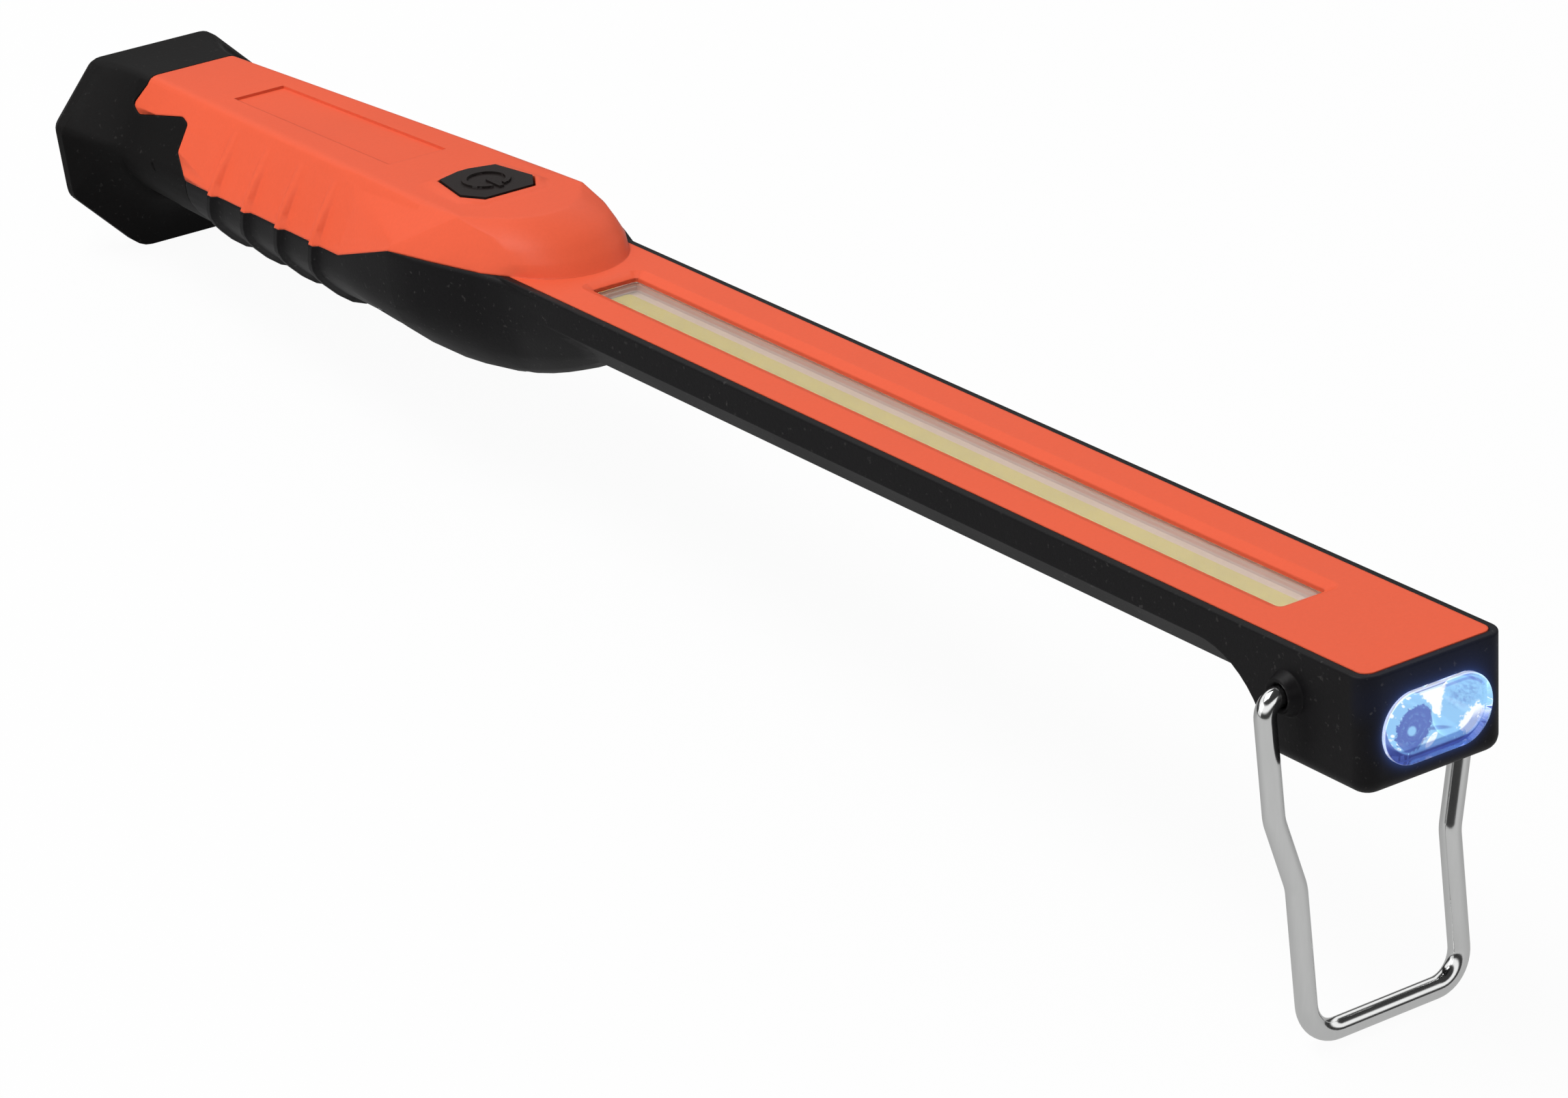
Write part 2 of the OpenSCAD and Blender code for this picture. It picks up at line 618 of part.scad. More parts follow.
// Places its children at the four case screws, origin on the seat of the head
module at_screws() {
    rear_x = board_x0 - 1.4;
    front_x = board_x1 + screw_head_r + 1.6;
    for (side = [-1, 1]) {
        translate([rear_x, side * rear_screw_half, -hip_drop - 0.6]) children();
        translate([front_x, side * front_screw_half, front_thread_top - screw_len]) children();
    }
}
front_thread_top = 1.6;

module socket_place() {
    translate([socket_x, board_half - socket_seat, board_z]) children();
}
socket_w = 7.6;
socket_h = 2.6;
socket_seat = 5.6;
socket_x = board_x1 - socket_w - 1.4;
socket_reach = handle_half(socket_x + socket_w)[1][0] - 1 - board_half + socket_seat;

// The orange upper housing: grip top, nose and the bar's face plate in one moulding
module top_shell() {
    color(orange) stand() difference() {
        union() {
            intersection() {
                difference() {
                    handle_form();
                    cap_zone(cap_gap);
                    translate([shoulder_x, -wide / 2, -wide / 2]) cube([wide, wide, wide]);
                }
                upper_half();
            }
            nose_form();
            button_collar();
            intersection() {
                spigot_form();
                upper_half();
            }
            translate([0, 0, plate_z]) linear_extrude(plate_t)
                soft_bar(board_x1 + 1, tip_x - rim_w - fit_gap, bar_w / 2 - rim_w - fit_gap, 0,
                    plate_corner_r);
        }
        cell_bay();
        board_bay();
        spigot_bay();
        // window over the strip light
        translate([0, 0, plate_z - over]) linear_extrude(plate_t + 2 * over)
            soft_bar(window_x0, window_x1, window_w / 2, window_rear_r, window_corner_r);
        window_mouth();
        // hole for the button
        translate([button_x, 0, 0]) linear_extrude(button_z + 5) button_outline(button_gap);
        label_recess();
        at_screws() cylinder(r = screw_r, h = screw_len + 0.6);
    }
}
// The slope that leads down to the window
module window_mouth() {
    inset = 0.02;
    hull() {
        translate([0, 0, plate_proud - mouth_h]) linear_extrude(mouth_h)
            soft_bar(window_x0 + inset, window_x1 - inset, window_w / 2 - inset, window_rear_r,
                window_corner_r, $fn = 32);
        translate([0, 0, plate_proud]) linear_extrude(over)
            soft_bar(window_x0 - mouth_run, window_x1 + mouth_run, window_w / 2 + mouth_run,
                mouth_corner_r, mouth_corner_r, $fn = 32);
    }
}
collar_root = 0.35;
module button_collar() {
    hull() for (step = [0 : 2]) translate([button_x, 0, 0])
        linear_extrude(shoulder_rise - collar_root + (collar_rise + collar_root) * [0, 0.8, 1][step])
            button_outline(button_gap + collar_run * [1, 0.4, 0.15][step]);
}
module label_recess() {
    fall = atan((top_rise_front - top_rise_butt) / grip_slope_len);
    translate([recess_start, 0, top_z(recess_start)]) rotate([0, -fall, 0])
        translate([0, 0, -recess_t]) linear_extrude(recess_t + 4)
            polygon([[0, -recess_w_butt / 2], [recess_len, -recess_w_front / 2],
                [recess_len, recess_w_front / 2], [0, recess_w_butt / 2]]);
}

// The black lower housing: grip underside, belly, bar channel and tip in one moulding
module lower_shell() {
    color(black) stand() difference() {
        union() {
            difference() {
                union() {
                    difference() {
                        handle_form();
                        cap_zone(cap_gap);
                    }
                    spigot_form();
                }
                upper_half();
            }
            along_x(neck_x - 4, tip_x - tip_corner_r - 1) bar_section(-bar_h, bar_sole_w / 2, bar_side_h);
            tip_block();
            for (side = [-1, 1]) translate([pivot_x, side * (bar_w / 2 - over), -pivot_drop])
                rotate([-90 * side, 0, 0])
                    cylinder(r1 = boss_r + boss_h / 2, r2 = boss_r - 0.4, h = boss_h + over);
            snap_barbs();
        }
        cell_bay();
        board_bay();
        spigot_bay();
        bar_channel();
        // seat of the face plate
        translate([0, 0, plate_z]) linear_extrude(plate_t + over)
            soft_bar(board_x1, tip_x - rim_w, bar_w / 2 - rim_w, 0, plate_corner_r);
        // spot lens
        translate([tip_x - tip_wall - over, 0, -spot_drop]) rotate([90, 0, 90])
            linear_extrude(tip_wall + 2 * over) obround(spot_w + 2 * fit_gap, spot_h + 2 * fit_gap);
        // pivot holes of the hook
        for (side = [-1, 1]) translate([pivot_x, side * (bar_w / 2 - pivot_depth), -pivot_drop])
            rotate([-90 * side, 0, 0])
                cylinder(r = wire_d / 2 + pivot_gap, h = pivot_depth + boss_h + over);
        for (side = [-1, 1]) translate([pivot_x, side * (bar_w / 2 + boss_h + 0.01), -pivot_drop])
            rotate([90 * side, 0, 0])
                cylinder(r1 = pivot_sink_r, r2 = wire_d / 2, h = pivot_sink_r - wire_d / 2);
        // charging socket in the right flank
        socket_place() translate([-fit_gap, -fit_gap, -fit_gap])
            cube([socket_w + 2 * fit_gap, 30, socket_h + 2 * fit_gap]);
        at_screws() {
            cylinder(r = screw_r, h = screw_len + 0.6);
            translate([0, 0, -belly_drop]) cylinder(r = screw_head_r + fit_gap, h = belly_drop);
        }
    }
}
// Section of the bar or the tip: upright sides with a softened top edge
module bar_section(low_z, sole_half, side_h) {
    difference() {
        polygon([[-bar_w / 2, 0], [-bar_w / 2, -side_h], [-sole_half, low_z], [sole_half, low_z],
            [bar_w / 2, -side_h], [bar_w / 2, 0]]);
        for (side = [-1, 1]) translate([side * bar_w / 2, 0]) corner_waste(rim_edge_r, -side, -1);
    }
}
module tip_block() {
    difference() {
        tip_sides();
        for (side = [0, 1]) mirror([0, side, 0]) {
            translate([tip_x, bar_w / 2, -tip_h]) ball_waste(tip_corner_r, tip_edge_r);
            translate([tip_x, bar_w / 2, 0]) mirror([0, 0, 1]) ball_waste(tip_corner_r, rim_edge_r);
        }
    }
}
// What rounding takes away where an upright corner of radius r meets an edge of radius r_edge
module ball_waste(r, r_edge) {
    difference() {
        translate([-r, -r, -over]) cube([r + over, r + over, r_edge + over]);
        translate([-r, -r, 0]) rotate_extrude() intersection() {
            square([r, r_edge]);
            union() {
                square([r - r_edge, r_edge]);
                translate([r - r_edge, r_edge]) circle(r_edge);
            }
        }
    }
}
// The tip as it is seen from above, from the side and from the front
module tip_sides() {
    back_x = tip_x - flare_start - 4;
    intersection() {
        // from above
        translate([0, 0, -tip_h - over]) linear_extrude(tip_h + 2 * over)
            soft_bar(back_x, tip_x, bar_w / 2, 0, tip_corner_r);
        // from the side, with the flare
        along_y() difference() {
            translate([back_x, -tip_h]) square([tip_x - back_x, tip_h]);
            translate([tip_x - flare_start, -bar_side_h - flare_r]) circle(flare_r, $fn = 96);
            translate([back_x - over, -bar_side_h - 2 * flare_r])
                square([tip_x - flare_start - back_x + over, 2 * flare_r]);
            translate([tip_x, -tip_h]) corner_waste(tip_edge_r, -1, 1);
            translate([tip_x, 0]) corner_waste(rim_edge_r, -1, -1);
        }
        // from the front
        along_x(back_x - over, tip_x + over) difference() {
            translate([-bar_w / 2, -tip_h]) square([bar_w, tip_h]);
            for (side = [-1, 1]) {
                translate([side * bar_w / 2, 0]) corner_waste(rim_edge_r, -side, -1);
                translate([side * bar_w / 2, -tip_h]) corner_waste(tip_edge_r, -side, 1);
            }
        }
    }
}
snap_x = collar_start + 1.5;
snap_half = grip_w_butt / 2 - 5.6;
snap_reach = grip_drop - hip_drop - 1;
module snap_barbs() {
    intersection() {
        spigot_form(gap = ear_t + cap_gap - 0.8);
        for (side = [-1, 1])
            translate([snap_x + cap_gap, side * snap_half - snap_w / 2 + cap_gap, -grip_drop])
                cube([snap_len - 2 * cap_gap, snap_w - 2 * cap_gap, snap_reach]);
    }
}

// The butt cap: an octagonal rim, a hollow shoulder, and a collar with two ears
function cap_half(inset = 0) = [[cap_top_w / 2 - 0.4 * inset, cap_rise - inset],
    [cap_w / 2 - inset, -cap_corner_drop], [cap_w / 2 - inset, -cap_hip_drop],
    [cap_sole_w / 2 - 0.4 * inset, -cap_drop + inset]];
function cap_to_collar(s) = let (a = cap_half(), b = handle_half(collar_start))
    [blend(a[0], b[0], s), blend(a[1], b[1], s), blend(a[2], b[2], s), blend(a[3], b[3], s)];
module cap_form() {
    slope = tan(cap_lean);
    rim_x = cap_round + cap_band;
    rest = collar_start - rim_x;
    cuts = [1.6, 0.4, 1.2, 1.2, 2.4];
    loft(concat(
        [for (s = [0, 0.3, 0.65, 1]) placed(cap_round * (1 - sqrt(1 - s * s)),
            ring(fading(cap_half(cap_round * (1 - s))), cuts), slope, cap_rise)],
        [placed(rim_x, ring(fading(cap_half()), cuts), slope, cap_rise)],
        [for (u = [0.14, 0.3, 0.5, 0.75]) let (s = 1 - pow(1 - u, 2.2))
            placed(rim_x + rest * u, ring(fading(cap_to_collar(s)), cuts + s * (handle_cuts() - cuts)),
                slope * (1 - u), cap_rise)],
        [for (x = [collar_start, ear_end + 4]) placed(x, ring(fading(handle_half(x)), handle_cuts()))]));
}
// Place and slope of the thumb marks on the ears' upper facet
mark_facet = handle_half(mark_start);
mark_up = 0.03;
mark_half = blend(mark_facet[1][0], mark_facet[0][0], mark_up);
mark_z = blend(mark_facet[1][1], mark_facet[0][1], mark_up);
mark_turn = 45 + atan2(mark_facet[0][1] - mark_facet[1][1], mark_facet[1][0] - mark_facet[0][0]) / 2;
butt_mid_z = (cap_rise - cap_drop) / 2;
module at_butt() {
    translate([(cap_rise - butt_mid_z) * tan(cap_lean), 0, butt_mid_z])
        rotate([0, -90 - cap_lean, 0]) children();
}
module end_cap() {
    color(black) stand() difference() {
        intersection() {
            cap_form();
            cap_zone();
        }
        spigot_form(gap = cap_gap, reach = 8);
        at_butt() translate([0, 0, -magnet_t - keeper_t])
            cylinder(d = magnet_d + 2 * fit_gap, h = magnet_t + keeper_t + over);
        for (side = [-1, 1]) translate([snap_x, side * snap_half - snap_w / 2, -grip_drop - over])
            cube([snap_len, snap_w, snap_reach + 2 * over]);
        // thumb marks on the ears
        for (side = [0, 1]) mirror([0, side, 0])
            translate([mark_start, -mark_half, mark_z]) rotate([mark_turn, 0, 0])
            translate([0, 0, mark_r - mark_t]) rotate([0, 0, -38]) rotate([-90, 0, 0]) rotate_extrude()
                polygon([[mark_r - 1.5, -1.65], [mark_r, 0], [mark_r - 1.5, 1.65]]);
    }
}
module base_magnet() {
    color(steel) stand() at_butt() translate([0, 0, -magnet_t]) cylinder(d = magnet_d, h = magnet_t);
}
module magnet_keeper() {
    color("gray") stand() at_butt() translate([0, 0, -magnet_t - keeper_t])
        cylinder(d = magnet_d, h = keeper_t);
}

// The rubber button with its raised power sign, wider at the front third
module button_outline(grow = 0) {
    half_l = button_len / 2 + grow;
    half_w = button_w / 2 + grow;
    polygon([[-half_l + 1.5, -half_w + 1.75], [half_l - 4.3, -half_w], [half_l, -half_w + 2.7],
        [half_l, half_w - 2.7], [half_l - 4.3, half_w], [-half_l + 1.5, half_w - 1.75],
        [-half_l, 1.2], [-half_l, -1.2]]);
}
stem_z = board_z + switch_h + 1.8;
button_z = shoulder_rise + collar_rise + button_proud;
module power_button() {
    flange_t = 1;
    color(black) stand() translate([button_x, 0, 0]) {
        translate([0, 0, stem_z]) linear_extrude(button_z - stem_z) button_outline();
        translate([0, 0, bay_ceiling - button_gap / 2 - flange_t])
            linear_extrude(flange_t) button_outline(1.4);
        translate([0, 0, button_z]) linear_extrude(sign_h) power_sign();
    }
}
module power_sign() {
    difference() {
        circle(sign_r + sign_line / 2);
        circle(sign_r - sign_line / 2);
        translate([0, -sign_line * 1.2]) square([sign_r * 2, sign_line * 2.4]);
    }
    translate([0.6, -sign_line / 2]) square([sign_r + 0.6, sign_line]);
}
module switch_stem() {
    color("white") stand() translate([button_x, 0, board_z + switch_h - 1])
        cylinder(r = stem_r, h = stem_z - board_z - switch_h + 1);
}
module tact_switch() {
    body_w = 6;
    color("dimgray") stand() translate([button_x, 0, board_z]) difference() {
        translate([-body_w / 2, -body_w / 2, 0]) cube([body_w, body_w, switch_h]);
        translate([0, 0, switch_h - 1 - button_travel - 0.4])
            cylinder(r = stem_r + pivot_gap, h = switch_h);
    }
}

// The strip light's stack
module strip_lens() {
    color(clear) stand() translate([0, 0, tray_z]) {
        linear_extrude(strip_lens_t)
            soft_bar(window_x0 - strip_lap, window_x1 + strip_lap, window_w / 2 + strip_lap, 1, 1);
        linear_extrude(plate_proud - strip_sunk - tray_z)
            soft_bar(window_x0 + fit_gap, window_x1 - fit_gap, window_w / 2 - fit_gap,
                window_rear_r, window_corner_r);
    }
}
module light_tray() {
    wall = 1;
    color("gainsboro") stand() difference() {
        translate([0, 0, spreader_z]) linear_extrude(tray_h) difference() {
            soft_bar(window_x0 - wall, window_x1 + strip_lap + 2, channel_half - fit_gap, 0, 0);
            soft_bar(window_x0, window_x1, window_w / 2, 0, window_corner_r);
        }
        translate([window_x0 - wall - over, -window_w / 2, spreader_z - over])
            cube([wall + 2 * over, window_w, pcb_t + fit_gap + over]);
    }
}
board_tail = 3.2; // what the strip light's board reaches back past the window
module strip_board() {
    color("white") stand() translate([0, 0, spreader_z]) linear_extrude(pcb_t)
        soft_bar(window_x0 - board_tail, window_x1 - 2 * fit_gap, window_w / 2 - 2 * fit_gap, 0,
            window_corner_r);
}
module strip_phosphor() {
    color("khaki") stand() translate([0, 0, board_z]) linear_extrude(phosphor_t)
        soft_bar(window_x0 + 1.2, window_x1 - 1.2, phosphor_w / 2, 1, 1);
}
module heat_spreader() {
    color("silver") stand() translate([window_x0 - board_tail - 1, -channel_half + fit_gap, rail_z])
        cube([window_x1 - window_x0 + strip_lap + board_tail + 3, 2 * (channel_half - fit_gap),
            spreader_t]);
}

// The spot light in the tip
module spot_lens() {
    color(clear) stand() translate([tip_x - tip_wall, 0, -spot_drop]) rotate([90, 0, 90]) {
        linear_extrude(tip_wall + spot_proud) obround(spot_w, spot_h);
        translate([0, 0, -spot_lip_t]) linear_extrude(spot_lip_t)
            obround(spot_w + 2 * spot_lip, spot_h + 2 * spot_lip);
    }
}
reflector_x = tip_x - tip_wall - spot_lip_t - reflector_len;
module spot_reflector() {
    color("whitesmoke") stand() translate([reflector_x, 0, -spot_drop]) rotate([90, 0, 90]) difference() {
        linear_extrude(reflector_len) obround(spot_w + 2 * spot_lip, spot_h + 2 * spot_lip);
        for (side = [-1, 1]) translate([side * cup_pitch / 2, 0, 0]) {
            translate([0, 0, 1]) cylinder(r1 = cup_root_r, r2 = cup_mouth_r, h = reflector_len - 1 + 0.01);
            translate([0, 0, -over]) cylinder(r = cup_root_r, h = 2 + over);
        }
    }
}
module spot_leds() {
    led_w = 3;
    color("gold") stand() for (side = [-1, 1])
        translate([reflector_x, side * cup_pitch / 2, -spot_drop]) rotate([90, 0, 90]) {
            translate([-led_w / 2, -led_w / 2, 0]) cube([led_w, led_w, 0.9]);
            translate([0, 0, 0.9]) cylinder(r1 = led_w / 2 - 0.1, r2 = led_w / 4, h = 0.9);
        }
}
module spot_board() {
    color("darkgreen") stand() translate([reflector_x - pcb_t, 0, -spot_drop]) rotate([90, 0, 90])
        linear_extrude(pcb_t) obround(spot_w + 2 * spot_lip, spot_h + 2 * spot_lip);
}

// A round wire along a flat path: points [x, y], with a bend radius at each
function heading(a, b) = atan2(b[1] - a[1], b[0] - a[0]);
function bend(p, i) = let (t = heading(p[i], p[i + 1]) - heading(p[i - 1], p[i]))
    t > 180 ? t - 360 : t < -180 ? t + 360 : t;
function setback(p, r, i) = i <= 0 || i >= len(p) - 1 ? 0 : r[i] * tan(abs(bend(p, i)) / 2);
function bend_stops(p, r, i, steps) = let (a = heading(p[i - 1], p[i]), t = bend(p, i), way = sign(t),
    c = p[i] - setback(p, r, i) * [cos(a), sin(a)] + way * r[i] * [-sin(a), cos(a)])
    [for (k = [0 : steps]) let (h = a + t * k / steps) [c + way * r[i] * [sin(h), -cos(h)], h]];
function wire_ring(q, h, d, sides) = [for (j = [0 : sides - 1]) let (f = 360 * j / sides)
    [q[0] - d / 2 * cos(f) * sin(h), q[1] + d / 2 * cos(f) * cos(h), d / 2 * sin(f)]];
module wire(p, r, d, sides = 24, steps = 6) {
    n = len(p);
    stops = concat([[p[0], heading(p[0], p[1])]],
        [for (i = [1 : n - 2]) each bend_stops(p, r, i, abs(bend(p, i)) > 45 ? steps : ceil(steps / 2))],
        [[p[n - 1], heading(p[n - 2], p[n - 1])]]);
    loft([for (s = stops) wire_ring(s[0], s[1], d, sides)]);
}
module hook() {
    end = bar_w / 2 - pivot_depth + 0.4;
    bend_y = hook_half_top - pivot_bend_r;
    leg = [[bend_y - 1, 0], [hook_half_top, 0], [hook_half_top, jog_start],
        [hook_half_low, jog_start + jog_len], [hook_half_low, hook_len]];
    bends = [0, pivot_bend_r, jog_bend_r, jog_bend_r, bar_bend_r];
    last = len(leg) - 1;
    path = concat(leg, [for (i = [last : -1 : 0]) [-leg[i][0], leg[i][1]]]);
    color("lightgray") stand() translate([pivot_x, 0, -pivot_drop]) rotate([0, -hook_lean, 0])
        rotate([-90, 0, 90]) {
            wire(path, concat(bends, [for (i = [last : -1 : 0]) bends[i]]), wire_d - 0.03);
            for (side = [-1, 1]) translate([side * end, 0, 0]) rotate([0, 90 * side, 0])
                cylinder(d = wire_d, h = bend_y - end);
        }
}

// Power and control
module battery_cell() {
    color("steelblue") stand() translate([cell_start, 0, -cell_drop]) rotate([0, 90, 0])
        rotate_extrude() polygon([[0, 0], [cell_d / 2 - 0.5, 0], [cell_d / 2, 0.5],
            [cell_d / 2, cell_len - 0.8],
            [cell_d / 2 - 0.8, cell_len], [0, cell_len]]);
}
module cell_tabs() {
    color(steel) stand() for (x = [cell_start - tab_t, cell_start + cell_len])
        translate([x, -tab_w / 2, -cell_drop - tab_h / 2]) cube([tab_t, tab_w, tab_h]);
}
module battery_leads() {
    color("firebrick") stand() {
        translate([cell_start + cell_len + tab_t, 0, -cell_drop - 2]) rotate([0, 90, 0])
            cylinder(d = lead_d, h = board_x0 + lead_tail - cell_start - cell_len - tab_t);
        translate([cell_start - tab_t, lead_side, -cell_drop]) rotate([0, 90, 0])
            cylinder(d = lead_d, h = board_x0 - cell_start + lead_tail);
    }
}
module main_board() {
    color("darkgreen") stand() translate([board_x0 + 1, -board_half, spreader_z])
        cube([board_len, 2 * board_half, pcb_t]);
}
module board_parts() {
    color("dimgray") stand() {
        coil_r = 3.4;
        coil_h = 4;
        chip = [5, 4, 1.2];
        translate([board_x1 - coil_r - 5.6, -board_half / 2, spreader_z - coil_h])
            cylinder(r = coil_r, h = coil_h);
        translate([button_x + 3.5, board_half / 2 - 1.2, spreader_z - chip[2]]) cube(chip);
        translate([button_x + 9.5, -board_half + 2.4, board_z]) cube(chip);
    }
}
module charge_socket() {
    wall = 0.4;
    color(steel) stand() socket_place() difference() {
        cube([socket_w, socket_reach, socket_h]);
        translate([wall, 2, wall]) cube([socket_w - 2 * wall, socket_reach, socket_h - 2 * wall]);
    }
}
module strip_leads() {
    color("firebrick") stand() for (side = [-1, 1])
        translate([board_x1 - 5, side * 1.6, board_z + lead_d / 2]) rotate([0, 90, 0])
            cylinder(d = lead_d, h = window_x0 - board_tail / 2 - board_x1 + 5);
}
module spot_leads_pair() {
    low = duct_z + lead_d / 2;
    high = spreader_z - lead_d / 2;
    path = [[board_x1 - 6, high], [board_x1 + 1, high], [board_x1 + 5, low], [reflector_x - pcb_t, low]];
    color("navy") stand() for (side = [-1, 1]) translate([0, side * spot_lead_half, 0]) rotate([90, 0, 0])
        wire(path, [0, 3, 3, 0], lead_d, 10, 2);
}
module case_screws() {
    color(steel) stand() at_screws() {
        cylinder(r = screw_r, h = screw_len);
        translate([0, 0, -screw_head_h]) cylinder(r = screw_head_r, h = screw_head_h);
    }
}

top_shell();
lower_shell();
end_cap();
base_magnet();
magnet_keeper();
power_button();
switch_stem();
tact_switch();
strip_lens();
light_tray();
strip_board();
strip_phosphor();
heat_spreader();
spot_lens();
spot_reflector();
spot_leds();
spot_board();
hook();
battery_cell();
cell_tabs();
battery_leads();
main_board();
board_parts();
charge_socket();
strip_leads();
spot_leads_pair();
case_screws();
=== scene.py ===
"""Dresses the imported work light: softened housings with finger ribs, a formed wire
hook, lamp glass, moulded and metal finishes, and a plain studio stage."""

import json
import math

import bpy
from bpy.props import FloatProperty, FloatVectorProperty, IntProperty, PointerProperty
from mathutils import Matrix, Vector


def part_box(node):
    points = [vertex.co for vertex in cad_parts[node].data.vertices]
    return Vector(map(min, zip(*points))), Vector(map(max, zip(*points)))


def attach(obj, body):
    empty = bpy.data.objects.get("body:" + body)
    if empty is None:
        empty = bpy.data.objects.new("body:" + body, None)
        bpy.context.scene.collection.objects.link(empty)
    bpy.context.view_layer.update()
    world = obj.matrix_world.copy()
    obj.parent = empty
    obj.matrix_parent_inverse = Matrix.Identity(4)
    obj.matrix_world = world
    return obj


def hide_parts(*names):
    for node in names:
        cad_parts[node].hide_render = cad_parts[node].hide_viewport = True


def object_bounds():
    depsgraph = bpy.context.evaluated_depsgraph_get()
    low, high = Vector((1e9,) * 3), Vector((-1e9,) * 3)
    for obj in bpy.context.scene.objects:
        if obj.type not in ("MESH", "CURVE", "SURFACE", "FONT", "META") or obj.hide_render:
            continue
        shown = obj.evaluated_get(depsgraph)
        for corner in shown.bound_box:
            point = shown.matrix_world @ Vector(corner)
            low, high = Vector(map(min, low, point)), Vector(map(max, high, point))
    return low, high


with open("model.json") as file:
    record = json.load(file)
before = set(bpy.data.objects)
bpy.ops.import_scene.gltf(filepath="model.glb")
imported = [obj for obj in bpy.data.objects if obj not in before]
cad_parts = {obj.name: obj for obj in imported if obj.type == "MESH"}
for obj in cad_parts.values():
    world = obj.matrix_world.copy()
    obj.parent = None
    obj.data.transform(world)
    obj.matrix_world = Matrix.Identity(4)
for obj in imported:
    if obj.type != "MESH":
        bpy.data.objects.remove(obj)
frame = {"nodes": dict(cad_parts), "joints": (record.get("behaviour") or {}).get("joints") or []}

bl_info = {
    "name": "Work Light",
    "version": (1, 0, 0),
    "blender": (4, 5, 0),
    "location": "View3D > Sidebar > Work Light",
    "description": "Dresses the work light's solids and sets its studio stage",
    "category": "Object",
}

CAD_LOW, CAD_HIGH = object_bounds()
HOOK_JOINT = next(j for j in frame["joints"] if j["child"] == "hook")
BUTTON_JOINT = next(j for j in frame["joints"] if j["child"] == "button")

# The lamp's own axes and origin: upwards, towards the tip, and the butt at the bar's top
UP = -Vector(BUTTON_JOINT["axis"])
AHEAD = Vector((UP.z, 0.0, -UP.x))
BUTT = Vector((-0.19409, 0.0, 0.03109))

# Merging distance for a copied mesh, and the colour of dust
MERGE = 2e-6
DUST = (0.45, 0.43, 0.41)

# The spot's outline in millimetres: half length of its straight part, radius of its ends
SPOT_HALF = 4.9
SPOT_END = 6.0

# Ovals of painted light and shade in the spot's cups, in millimetres: middle, half sizes and lean
SPOT_WELL = ((-4.5, -0.4), (3.3, 3.7), 0.27)
SPOT_DOT = ((-4.8, -0.65), (0.9, 0.9))
SPOT_SHADE = ((6.0, 2.4), (3.4, 2.6))
SPOT_TAIL = ((0.3, -1.6), (1.3, 0.95), -3.0)
SPOT_GLINT = ((-1.3, -3.1), (0.95, 1.2), 0.8)

# Finger ribs: height over the rib's width, where its front moves to, and the heights
# at which the panel is cut, each with the share of the rib's height there
RIB_COUNT = 4
RIB_SHAPE = ((0.0, 0.0), (0.2, 1.0), (0.45, 1.0), (0.75, 0.1), (1.0, 0.0))
RIB_FRONT = ((0.0, 0.0), (0.45, 0.45), (0.75, 0.59), (1.0, 1.0))
RIB_CROWN = ((0.00070, 0.22), (-0.00163, 0.38), (-0.00452, 0.26))

# The ribbed panel in the lamp's own axes: tilt of its lines, middle along the lamp,
# half widths that its faces and its points lie beyond, and height of its crease
PANEL_TILT = 0.0227
PANEL_MIDDLE = 0.079
PANEL_INSIDE = 0.009
PANEL_EDGE = 0.0115
PANEL_CREASE = 0.0035

# The grip: height of the parting line, depth below it, and how low its core lies
PARTING = -0.0075
GRIP_DEPTH = 0.0134
CORE_DROP = 0.007


def colour(name, description, default):
    """A colour property in scene-linear values."""
    return FloatVectorProperty(
        name=name, description=description, subtype="COLOR", size=3,
        min=0.0, max=1.0, default=default,
    )


def length(name, description, default):
    """A length property in metres."""
    return FloatProperty(
        name=name, description=description, subtype="DISTANCE", unit="LENGTH",
        min=0.0, default=default, precision=5,
    )


def angle(name, description, default):
    """An angle property, given in degrees."""
    return FloatProperty(
        name=name, description=description, subtype="ANGLE", unit="ROTATION",
        default=math.radians(default),
    )


def share(name, description, default, top=1.0):
    """A plain factor property."""
    return FloatProperty(
        name=name, description=description, subtype="FACTOR",
        min=0.0, max=top, default=default,
    )


